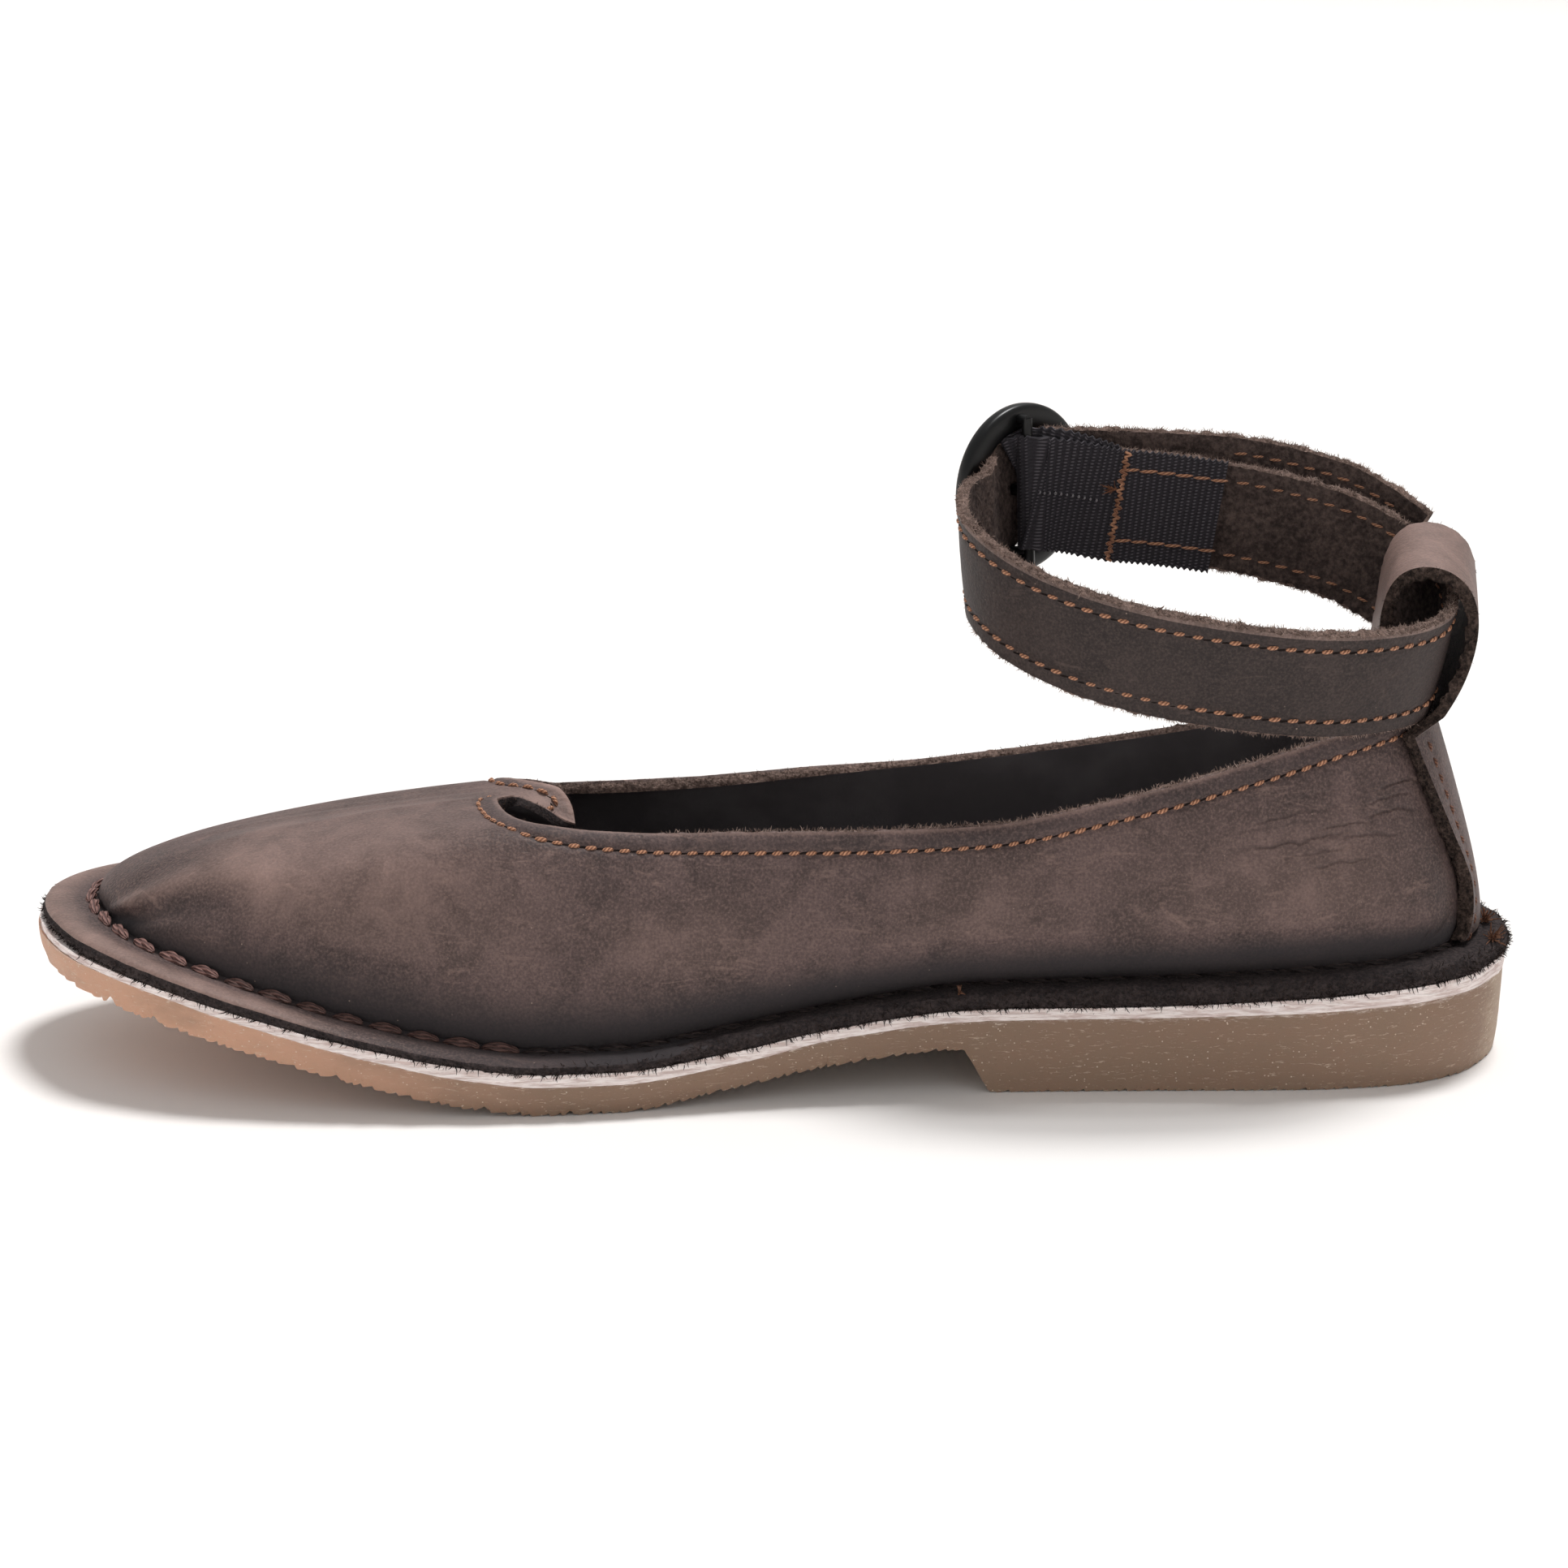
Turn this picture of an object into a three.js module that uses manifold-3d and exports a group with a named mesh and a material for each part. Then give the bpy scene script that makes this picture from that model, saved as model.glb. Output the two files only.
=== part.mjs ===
// A right-foot flat shoe with an ankle strap, stitched down on a rubber sole.
// Millimetres, +Z up, toe towards -X, heel towards +X, inner (medial) side towards -Y.
import * as THREE from 'three';
import { mergeVertices } from 'three/addons/utils/BufferGeometryUtils.js';
import Module from 'manifold-3d';

const wasm = await Module();
wasm.setup();

// Driving sizes
const LENGTH = 270;            // sole, toe tip to heel tip
const GAP = 0.3;               // clearance between pieces that touch
const LEATHER = 2.2;           // upper and strap leather
const INSOLE_THICKNESS = 2.4;
const SOLE_EDGE_TAPER = 1.0;   // the tread is narrower than the sole's top
const RUNNER_INSET = 0.3;
const STRAP_WIDTH = 20.5;
const ELASTIC_WIDTH = 20;
const ELASTIC_THICKNESS = 1.0;
const BACKSTAY_WIDTH = 23;
const BACKSTAY_THICKNESS = 2.2;
const LOOP_WIDTH = 22;
const LOOP_ROLL = 10;          // degrees, the outer side of the loop is higher
const LOOP_YAW = 0.16;         // and further back, per mm
const BUCKLE = { outer: 15.7, inner: 13.2, depth: 2.7, bar: 1.0, drop: 3.4, prong: 1.0 };
const HOLE_RADIUS = 1.7;       // punched holes of the strap
const HOLE_TURNS = [-179, -197];

// The strap lies on a leaning oval: half sizes, centre, and its slopes.
const OVAL = {
  x: 77.7, z: 84.7, length: 42.6, width: 26.5,
  power: 2.3,                  // a little fuller than an ellipse
  roll: 0.356,                 // rise towards the outer side, per mm
  pitch: 0.14,                 // rise towards the toe, per mm
  dip: 1.7,                    // the loop pulls the band down at the heel
  flare: 0.13,                 // the band opens upwards
  leanX: 0.03, leanY: -0.13,   // and leans to the heel and to the inner side
};
const BUCKLE_TURN = 131;       // degrees round the oval, from the heel towards the outer side
const BUCKLE_YAW = 13;         // degrees, the ring's front rim tips inwards
const BUCKLE_LIFT = 1.8;       // buckle and tail ride up on the first turn of the strap
const BAR_OUT = 2.4;           // buckle bar, outside the oval

const table = (columns, rows) => rows.map(
  (row) => Object.fromEntries(columns.map((name, i) => [name, row[i]])));

// Sole sections: distance from the toe, half widths, and the heights of each layer's top at its edge.
const SOLE = table(
  ['at', 'medial', 'lateral', 'tread', 'sole', 'runner', 'flange', 'welt'], [
    [0, -4.0, 4.0, 17.4, 23.2, 24.4, 27.4, 9.6],
    [4, 12.3, 16.2, 17.2, 22.9, 24.1, 27.2, 9.6],
    [12, 24.6, 25.0, 16.4, 22.1, 23.2, 26.6, 9.5],
    [24, 33.2, 32.5, 14.0, 19.9, 21.0, 24.2, 9.3],
    [42, 39.8, 39.4, 10.1, 15.7, 17.1, 19.8, 9.0],
    [64, 43.3, 44.2, 4.8, 10.5, 12.2, 14.3, 8.7],
    [82, 44.5, 47.0, 1.3, 7.1, 9.1, 11.1, 8.4],
    [94, 44.1, 47.8, 0.0, 5.8, 7.9, 9.9, 8.2],
    [108, 42.3, 47.5, 0.0, 5.7, 7.8, 10.0, 8.0],
    [127, 38.2, 45.0, 2.8, 7.8, 9.9, 12.6, 7.6],
    [146, 34.6, 41.5, 6.0, 11.4, 13.2, 15.8, 7.2],
    [168, 32.4, 37.7, 8.1, 13.8, 15.7, 18.8, 7.0],
    [174, 32.1, 36.9, 0.0, 14.0, 15.9, 19.1, 7.0],
    [200, 31.4, 34.0, 0.0, 14.2, 16.1, 19.6, 7.0],
    [228, 31.0, 31.6, 0.0, 14.9, 17.3, 20.9, 7.2],
    [246, 28.8, 28.8, 0.0, 15.7, 18.4, 21.9, 7.4],
    [258, 23.4, 23.1, 0.0, 16.1, 18.9, 22.5, 7.6],
    [266, 13.8, 13.5, 0.0, 16.2, 19.0, 22.6, 7.7],
    [270, 0.0, 0.0, 0.0, 16.2, 19.0, 22.6, 7.7],
  ]);

// Upper edge, by way round the shoe: -1 heel, towards the inner side, 0 toe, outer side, 1 heel.
// The peak of the throat bends down by droop below the line that the vamp would reach.
const TOPLINE = table(
  ['way', 'at', 'side', 'z', 'droop'], [
    [-1.00, 252.0, 0.0, 65.0, 0],
    [-0.92, 248.5, -9.8, 65.0, 0],
    [-0.84, 240.0, -16.6, 63.8, 0],
    [-0.75, 222.0, -21.6, 59.2, 0],
    [-0.66, 197.0, -24.5, 52.8, 0],
    [-0.58, 171.0, -25.5, 47.9, 0],
    [-0.50, 143.0, -26.0, 47.0, 0],
    [-0.43, 118.0, -26.2, 47.0, 0],
    [-0.37, 103.0, -25.8, 47.5, 0],
    [-0.31, 94.0, -24.6, 48.1, 0],
    [-0.25, 89.0, -20.7, 48.0, 0],
    [-0.19, 86.0, -14.0, 47.8, 0],
    [-0.13, 84.4, -7.0, 47.8, 0],
    [-0.09, 86.8, -4.4, 47.2, 0.8],
    [-0.02, 96.8, 0.2, 41.4, 6.9],
    [0.00, 98.0, 1.0, 40.8, 7.6],
    [0.02, 96.8, 1.9, 41.4, 6.9],
    [0.09, 86.8, 7.0, 46.2, 0.8],
    [0.13, 84.6, 10.0, 46.0, 0],
    [0.19, 86.3, 15.6, 45.0, 0],
    [0.25, 89.0, 21.0, 43.6, 0],
    [0.31, 94.0, 24.9, 42.0, 0],
    [0.37, 103.0, 26.4, 41.8, 0],
    [0.43, 118.0, 26.9, 42.4, 0],
    [0.50, 143.0, 26.9, 44.7, 0],
    [0.58, 171.0, 26.3, 47.5, 0],
    [0.66, 197.0, 25.0, 51.0, 0],
    [0.75, 222.0, 21.8, 56.0, 0],
    [0.84, 240.0, 16.8, 61.8, 0],
    [0.92, 248.5, 9.8, 64.4, 0],
    [1.00, 252.0, 0.0, 65.0, 0],
  ]);

// How the wall climbs from the welt: round 1 is a domed vamp and 0 a straight wall, slope is the share
// of even rise in the dome, and bulge stands out over the welt.
const WALL = table(
  ['way', 'round', 'slope', 'bulge'], [
    [-1.00, 0.05, 0.2, 1.6],
    [-0.80, 0.10, 0.2, 3.4],
    [-0.60, 0.15, 0.2, 4.4],
    [-0.45, 0.35, 0.1, 3.4],
    [-0.34, 0.85, 0.05, 1.4],
    [-0.20, 1.00, 0.20, 0.0],
    [0.00, 1.00, 0.40, 0.0],
    [0.20, 1.00, 0.42, 0.0],
    [0.34, 0.85, 0.20, 1.2],
    [0.45, 0.35, 0.1, 2.6],
    [0.60, 0.15, 0.2, 3.2],
    [0.80, 0.10, 0.2, 3.0],
    [1.00, 0.05, 0.2, 1.6],
  ]);
const DOME_POWER = 2.4;
const DROOP_START = 0.84;
const WALL_STEPS = [0, 0.06, 0.13, 0.2, 0.3, 0.4, 0.5, 0.6, 0.7, 0.8, 0.88, 0.94, 0.975, 1];
const COLUMNS = 90;            // round the upper

// Middle of the loop's outer face, from the top of the backstay over the strap and down inside the collar.
const LOOP = table(
  ['x', 'z', 'roll', 'sag'], [
    [122.4, 64.0, 0.0, 2.4],
    [123.9, 67.5, 0.2, 1.6],
    [126.1, 73.0, 0.6, 0.8],
    [127.4, 80.0, 0.9, 0.2],
    [127.4, 86.5, 1.0, 0.0],
    [124.4, 91.3, 1.0, 0.0],
    [120.5, 93.3, 1.0, 0.0],
    [116.6, 93.8, 1.0, 0.0],
    [113.2, 92.8, 1.0, 0.0],
    [110.5, 90.0, 1.0, 0.0],
    [108.9, 85.8, 1.0, 0.0],
    [108.3, 80.5, 0.9, 0.0],
    [108.8, 74.0, 0.6, 0.0],
    [110.1, 67.5, 0.2, 2.5],
    [111.8, 61.5, 0.0, 6.5],
    [113.2, 56.0, 0.0, 7.0],
  ]);

// Strap route: degrees round the oval, how far outside it the band runs, and its lift.
// It starts under the elastic, goes round the heel and the front, and over the bar to a free tail.
const STRAP = table(
  ['turn', 'out', 'lift'], [
    [107, 0, 0.3],
    [90, 0, 0.3],
    [0, 0, 0],
    [-90, 0, 0],
    [-160, 0, 0],
    [-185, 0, 0.5],
    [-207, 0.2, 1.4],
    [-217, 3.2, 1.8],
    [-223, 5.7, 1.8],
    [-229, 6.9, 1.8],
    [-235, 6.1, 1.8],
    [-241, 4.8, 1.8],
    [-250, 4.4, 1.9],
    [-262, 4.8, 2.1],
    [-278, 6.6, 2.3],
    [-300, 7.6, 1.9],
    [-312, 8.0, 0.9],
    [-322, 8.2, 0],
  ]);
const STRAP_STEPS = 92;
// Elastic: along the inner face of the strap, round the bar, and back to the strap's end.
const ELASTIC_INNER = table(
  ['turn', 'out', 'lift'], [
    [85, -1.95, 0.3],
    [95, -1.95, 0.3],
    [105, -1.95, 0.4],
    [111, -1.3, 0.7],
    [117, -0.3, 1.2],
    [125, 0.55, 1.7],
    [129, 0.7, 1.8],
  ]);
const ELASTIC_OUTER = table(
  ['turn', 'out', 'lift'], [
    [129, 4.0, 1.8],
    [124, 2.5, 1.6],
    [118, 1.0, 1.1],
    [114, 0.4, 0.7],
    [110, 0.0, 0.5],
  ]);

// Shared helpers

// Smooth curve through table rows that never overshoots them, so flat runs stay flat.
function smooth(xs, ys) {
  const steps = xs.slice(1).map((x, i) => x - xs[i]);
  const rates = steps.map((step, i) => (ys[i + 1] - ys[i]) / step);
  const slopes = ys.map((_, i) => {
    if (i === 0) return rates[0];
    if (i === ys.length - 1) return rates[i - 1];
    if (rates[i - 1] * rates[i] <= 0) return 0;
    const before = 2 * steps[i] + steps[i - 1];
    const after = steps[i] + 2 * steps[i - 1];
    return (before + after) / (before / rates[i - 1] + after / rates[i]);
  });
  return (x) => {
    let i = 0;
    while (i < steps.length - 1 && x > xs[i + 1]) i += 1;
    const t = THREE.MathUtils.clamp((x - xs[i]) / steps[i], 0, 1);
    const h = t * t * (3 - 2 * t);
    const rise = (t * (1 - t) * (1 - t) * slopes[i] - t * t * (1 - t) * slopes[i + 1]) * steps[i];
    return ys[i] + (ys[i + 1] - ys[i]) * h + rise;
  };
}

const column = (rows, by, name) => smooth(rows.map((row) => row[by]), rows.map((row) => row[name]));

// Stations crowd towards toe and heel, so that the rounded ends stay round.
const stationOf = (at) => Math.acos(THREE.MathUtils.clamp(1 - 2 * at / LENGTH, -1, 1)) / Math.PI;
const atOf = (station) => LENGTH * (1 - Math.cos(Math.PI * station)) / 2;
const soleRows = SOLE.map((row) => ({ ...row, station: stationOf(row.at) }));
const sole = Object.fromEntries(
  ['medial', 'lateral', 'tread', 'sole', 'runner', 'flange', 'welt']
    .map((name) => [name, column(soleRows, 'station', name)]));
const heightAt = (name, x) => sole[name](stationOf(x + LENGTH / 2));

// Way round the shoe brought back between -1 and 1.
const wrapped = (way) => THREE.MathUtils.euclideanModulo(way + 1, 2) - 1;

// Point of the sole's edge at a way round the shoe, moved inwards by inset.
function edgePoint(way, inset) {
  const raw = (turn) => {
    const station = Math.abs(wrapped(turn));
    const y = wrapped(turn) < 0 ? -sole.medial(station) : sole.lateral(station);
    return new THREE.Vector2(atOf(station) - LENGTH / 2, y);
  };
  const delta = 0.004;
  const along = raw(way + delta).sub(raw(way - delta)).normalize();
  return raw(way).add(new THREE.Vector2(along.y, -along.x).multiplyScalar(inset));
}

// Outward direction of the sole's edge in plan.
const outward = (way) => edgePoint(way, 0).sub(edgePoint(way, 1));

// Closed mesh from a grid of points: rows of equal length, each row closed on itself.
// An open grid is capped at both ends by a ladder between the two halves of its row.
function gridGeometry(rows, closedAlong) {
  const count = rows[0].length;
  const positions = rows.flat().flatMap((p) => [p.x, p.y, p.z]);
  const index = [];
  const last = closedAlong ? rows.length : rows.length - 1;
  for (let i = 0; i < last; i += 1) {
    const next = (i + 1) % rows.length;
    for (let j = 0; j < count; j += 1) {
      const k = (j + 1) % count;
      const [a, b, c, d] = [i * count + j, i * count + k, next * count + k, next * count + j];
      index.push(a, b, c, a, c, d);
    }
  }
  if (!closedAlong) {
    const end = (rows.length - 1) * count;
    for (let j = 0; j < count / 2 - 1; j += 1) {
      const [a, b, c, d] = [j, j + 1, count - 2 - j, count - 1 - j];
      index.push(a, c, b, a, d, c);
      index.push(end + a, end + b, end + c, end + a, end + c, end + d);
    }
  }
  return facingOut(positions, index);
}

// Geometry from positions and triangles, turned round if its volume comes out negative.
function facingOut(positions, index) {
  const corner = (i) => new THREE.Vector3().fromArray(positions, 3 * i);
  let volume = 0;
  for (let i = 0; i < index.length; i += 3) {
    volume += corner(index[i]).dot(corner(index[i + 1]).cross(corner(index[i + 2])));
  }
  const order = volume > 0 ? index : index.slice().reverse();
  const geometry = new THREE.BufferGeometry();
  geometry.setAttribute('position', new THREE.Float32BufferAttribute(positions, 3));
  geometry.setIndex(order);
  return geometry;
}

// Surface to a solid that can be joined and cut, and back.
function toSolid(geometry) {
  const bare = geometry.clone();
  bare.deleteAttribute('normal');
  bare.deleteAttribute('uv');
  const merged = mergeVertices(bare, 1e-5);
  return new wasm.Manifold(new wasm.Mesh({
    numProp: 3,
    vertProperties: new Float32Array(merged.attributes.position.array),
    triVerts: new Uint32Array(merged.index.array),
  }));
}

function fromSolid(solid) {
  const mesh = solid.getMesh();
  const geometry = new THREE.BufferGeometry();
  geometry.setAttribute('position', new THREE.BufferAttribute(new Float32Array(mesh.vertProperties), 3));
  geometry.setIndex(Array.from(mesh.triVerts));
  return geometry;
}

// Round rod through a list of points.
function rodGeometry(points, radius, sides) {
  const circle = new THREE.Path().absarc(0, 0, radius, 0, 2 * Math.PI);
  const shape = new THREE.Shape(circle.getSpacedPoints(sides));
  const extrudePath = new THREE.CatmullRomCurve3(points);
  return new THREE.ExtrudeGeometry(shape, { steps: 2 * points.length, extrudePath, bevelEnabled: false });
}

// Sole layers

const SOLE_STATIONS = 56;
const BREAKS = [94, 108, 168, 174];
const stations = [];
for (let i = 1; i < SOLE_STATIONS; i += 1) stations.push(i / SOLE_STATIONS);
for (const at of BREAKS) {
  const exact = stationOf(at);
  stations[Math.round(exact * SOLE_STATIONS) - 1] = exact;
}

// Slab between two height functions of x, each with its own inset from the sole's edge.
function slabGeometry(bottom, top, bottomInset, topInset) {
  const positions = [];
  const layers = [[bottom, bottomInset], [top, topInset]].map(([height, inset]) => {
    const put = (way) => {
      const p = edgePoint(way, inset(way));
      positions.push(p.x, p.y, height(p.x));
      return positions.length / 3 - 1;
    };
    return {
      toe: put(0),
      medial: stations.map((s) => put(-s)),
      lateral: stations.map((s) => put(s)),
      heel: put(1),
    };
  });
  const index = [];
  const quad = (a, b, c, d) => index.push(a, b, c, a, c, d);
  const [low, high] = layers;
  const last = stations.length - 1;
  for (const [layer, flip] of [[low, false], [high, true]]) {
    const face = (a, b, c) => (flip ? index.push(a, c, b) : index.push(a, b, c));
    face(layer.toe, layer.lateral[0], layer.medial[0]);
    for (let i = 0; i < last; i += 1) {
      face(layer.medial[i], layer.lateral[i], layer.lateral[i + 1]);
      face(layer.medial[i], layer.lateral[i + 1], layer.medial[i + 1]);
    }
    face(layer.medial[last], layer.lateral[last], layer.heel);
  }
  const loop = (layer) => [layer.toe, ...layer.medial, layer.heel, ...layer.lateral.slice().reverse()];
  const [lowLoop, highLoop] = [loop(low), loop(high)];
  lowLoop.forEach((a, i) => {
    const j = (i + 1) % lowLoop.length;
    quad(a, lowLoop[j], highLoop[j], highLoop[i]);
  });
  return facingOut(positions, index);
}

const outsoleGeometry = () => slabGeometry(
  (x) => heightAt('tread', x),
  (x) => heightAt('sole', x) - GAP / 2,
  () => SOLE_EDGE_TAPER,
  () => 0);

const runnerGeometry = () => slabGeometry(
  (x) => heightAt('sole', x) + GAP / 2,
  (x) => heightAt('runner', x) - GAP / 2,
  () => RUNNER_INSET,
  () => RUNNER_INSET);

// Upper: a welt turned outwards, a wall on the shape of the last, and an open top

const topline = Object.fromEntries(
  ['at', 'side', 'z', 'droop'].map((name) => [name, column(TOPLINE, 'way', name)]));
const wall = Object.fromEntries(
  ['round', 'slope', 'bulge'].map((name) => [name, column(WALL, 'way', name)]));

// Foot of the wall, where the leather turns out into the welt.
function feather(way) {
  const p = edgePoint(way, sole.welt(Math.abs(way)));
  return new THREE.Vector3(p.x, p.y, heightAt('flange', p.x));
}

// Outer face of the wall, from its foot (climb 0) to the topline (climb 1).
function wallPoint(turn, climb) {
  const way = wrapped(turn);
  const foot = feather(way);
  const top = new THREE.Vector3(topline.at(way) - LENGTH / 2, topline.side(way), topline.z(way));
  const angle = climb * Math.PI / 2;
  const round = wall.round(way);
  const domeIn = 1 - Math.cos(angle) ** (2 / DOME_POWER);
  const domeUp = Math.sin(angle) ** (2 / DOME_POWER) * (1 - wall.slope(way)) + domeIn * wall.slope(way);
  const inward = THREE.MathUtils.lerp(climb, domeIn, round);
  const up = THREE.MathUtils.lerp(climb, domeUp, round);
  const droop = topline.droop(way);
  const bent = Math.max(0, (inward - DROOP_START) / (1 - DROOP_START)) ** 1.3;
  const bulge = outward(way).multiplyScalar(wall.bulge(way) * Math.sin(Math.PI * climb ** 0.6));
  return new THREE.Vector3(
    THREE.MathUtils.lerp(foot.x, top.x, inward) + bulge.x,
    THREE.MathUtils.lerp(foot.y, top.y, inward) + bulge.y,
    THREE.MathUtils.lerp(foot.z, top.z + droop, up) - droop * bent);
}

// Wall point moved along the outward normal of the wall, or along its level part.
function wallOffset(way, climb, distance, level = false) {
  const d = 0.004;
  const [below, above] = [Math.max(climb - d, 0.004), Math.min(climb + d, 1)];
  const across = wallPoint(way + d, climb).sub(wallPoint(way - d, climb));
  const along = wallPoint(way, above).sub(wallPoint(way, below));
  const normal = along.cross(across);
  if (level) normal.z = 0;
  normal.normalize();
  return wallPoint(way, climb).add(normal.multiplyScalar(distance));
}

function upperGeometry() {
  const rows = [];
  for (let i = 0; i < COLUMNS; i += 1) {
    const way = 2 * i / COLUMNS - 1;
    const rim = (inset, share) => {
      const p = edgePoint(way, inset);
      const low = heightAt('runner', p.x) + GAP / 2;
      return new THREE.Vector3(p.x, p.y, THREE.MathUtils.lerp(low, heightAt('flange', p.x), share));
    };
    const outer = WALL_STEPS.map((climb) => wallPoint(way, climb));
    const inner = WALL_STEPS.slice(1).reverse().map((climb) => wallOffset(way, climb, -LEATHER));
    rows.push([
      rim(0.3, 0), rim(-0.7, 0.5), rim(0.2, 1),
      ...outer, ...inner,
      rim(sole.welt(Math.abs(way)) + LEATHER, 0),
    ]);
  }
  return gridGeometry(rows, true);
}

const insoleInset = (way) => sole.welt(Math.abs(way)) + LEATHER + 3 * GAP;
const insoleBottom = (x) => heightAt('runner', x) + GAP / 2;
const insoleGeometry = () => slabGeometry(
  insoleBottom, (x) => insoleBottom(x) + INSOLE_THICKNESS, insoleInset, insoleInset);

// Backstay: a strip on the heel wall that runs up into the loop over the strap

const STRIP_ACROSS = 6;
const acrossShares = Array.from({ length: STRIP_ACROSS + 1 }, (_, j) => 2 * j / STRIP_ACROSS - 1);

// Way round the heel at which the wall, at this climb, stands at a given side distance.
function heelWay(side, climb) {
  if (side === 0) return 1;
  const sign = Math.sign(side);
  let [near, far] = [1, 0.8];
  for (let i = 0; i < 40; i += 1) {
    const middle = (near + far) / 2;
    if (Math.abs(wallPoint(sign * middle, climb).y) < Math.abs(side)) near = middle;
    else far = middle;
  }
  return sign * near;
}

function backstayGeometry() {
  const rows = [];
  for (const climb of [0.02, 0.06, 0.13, 0.22, 0.34, 0.46, 0.58, 0.7, 0.82, 0.92]) {
    const ways = acrossShares.map((share) => heelWay(share * BACKSTAY_WIDTH / 2, climb));
    const outer = ways.map((way) => wallOffset(way, climb, GAP + BACKSTAY_THICKNESS, true));
    const inner = ways.map((way) => wallOffset(way, climb, GAP, true)).reverse();
    rows.push([...outer, ...inner]);
  }
  const centres = LOOP.map((row) => new THREE.Vector3(row.x, 0, row.z));
  const path = new THREE.CatmullRomCurve3(centres, false, 'centripetal');
  const steps = 2 * (LOOP.length - 1);
  for (let i = 0; i <= steps; i += 1) {
    const t = i / steps;
    const key = t * (LOOP.length - 1);
    const before = LOOP[Math.floor(key)];
    const after = LOOP[Math.min(Math.floor(key) + 1, LOOP.length - 1)];
    const mix = (name) => THREE.MathUtils.lerp(before[name], after[name], key % 1);
    const centre = path.getPoint(t);
    const along = path.getTangent(t);
    const outwards = new THREE.Vector3(along.z, 0, -along.x);
    const roll = THREE.MathUtils.degToRad(LOOP_ROLL * mix('roll'));
    const face = (depth) => acrossShares.map((share) => {
      const side = share * LOOP_WIDTH / 2;
      const back = LOOP_YAW * side * mix('roll') - mix('sag') * share * share;
      return new THREE.Vector3(centre.x + back, side * Math.cos(roll), centre.z + side * Math.sin(roll))
        .addScaledVector(outwards, -depth);
    });
    rows.push([...face(0), ...face(BACKSTAY_THICKNESS).reverse()]);
  }
  return gridGeometry(rows, false);
}

// Ankle strap, elastic and buckle

// Frame of the strap's oval: point, outward direction, and the band's own width direction.
function ovalFrame(turn) {
  const angle = THREE.MathUtils.degToRad(turn);
  const [c, s] = [Math.cos(angle), Math.sin(angle)];
  const full = (v) => Math.sign(v) * Math.abs(v) ** (2 / OVAL.power);
  const flat = (v) => Math.sign(v) * Math.abs(v) ** (2 - 2 / OVAL.power);
  const out = new THREE.Vector3(OVAL.width * flat(c), OVAL.length * flat(s), 0).normalize();
  const up = new THREE.Vector3(OVAL.leanX, OVAL.leanY, 1).addScaledVector(out, OVAL.flare).normalize();
  const base = new THREE.Vector3(OVAL.x + OVAL.length * full(c), OVAL.width * full(s), OVAL.z);
  return { base, out, up };
}

// Height of the leaning plane, with the dip at the heel.
function ovalHeight(p) {
  const rear = Math.max(0, (p.x - OVAL.x) / OVAL.length - 0.6) / 0.4;
  return OVAL.z + OVAL.roll * p.y - OVAL.pitch * (p.x - OVAL.x) - OVAL.dip * Math.min(rear, 1.2) ** 2;
}

// Point on the leaning plane of the oval, some way outside the oval itself and lifted above it.
function ovalPoint(turn, out, lift) {
  const frame = ovalFrame(turn);
  const p = frame.base.addScaledVector(frame.out, out);
  p.z = ovalHeight(p) + lift;
  return p;
}

// Band of given width and thickness along a route of points, standing along its up directions.
function bandGeometry(route, width, thickness) {
  const bevel = Math.min(0.35, thickness / 4);
  const rows = route.map(({ p, up }, i) => {
    const next = route[Math.min(i + 1, route.length - 1)].p;
    const along = next.clone().sub(route[Math.max(i - 1, 0)].p);
    const side = along.clone().cross(up).normalize();
    const rise = side.clone().cross(along).normalize();
    if (rise.dot(up) < 0) rise.negate();
    const place = (w, t) => p.clone().addScaledVector(rise, w).addScaledVector(side, t);
    const [w, t] = [width / 2, thickness / 2];
    return [
      place(w - bevel, t), place(w, t - bevel), place(w, bevel - t), place(w - bevel, -t),
      place(bevel - w, -t), place(-w, bevel - t), place(-w, t - bevel), place(bevel - w, t),
    ];
  });
  return gridGeometry(rows, false);
}

// Points and up directions along a table of turns round the oval.
function ovalRun(rows, steps) {
  const [first, last] = [rows[0].turn, rows[rows.length - 1].turn];
  const sign = Math.sign(last - first);
  const along = rows.map((row) => ({ ...row, along: sign * row.turn }));
  const [outs, lifts] = ['out', 'lift'].map((name) => column(along, 'along', name));
  return Array.from({ length: steps + 1 }, (_, i) => {
    const turn = THREE.MathUtils.lerp(first, last, i / steps);
    return { p: ovalPoint(turn, outs(sign * turn), lifts(sign * turn)), up: ovalFrame(turn).up };
  });
}

function elasticRoute() {
  const bar = ovalPoint(BUCKLE_TURN, BAR_OUT, BUCKLE_LIFT);
  const frame = buckleFrame();
  const reach = BUCKLE.bar + GAP + ELASTIC_THICKNESS / 2;
  const fold = Array.from({ length: 9 }, (_, i) => {
    const angle = Math.PI * i / 8;
    const p = bar.clone()
      .addScaledVector(frame.out, -reach * Math.cos(angle))
      .addScaledVector(frame.along, reach * Math.sin(angle));
    return { p, up: ovalFrame(BUCKLE_TURN).up };
  });
  return [...ovalRun(ELASTIC_INNER, 18), ...fold, ...ovalRun(ELASTIC_OUTER, 9)];
}

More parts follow.
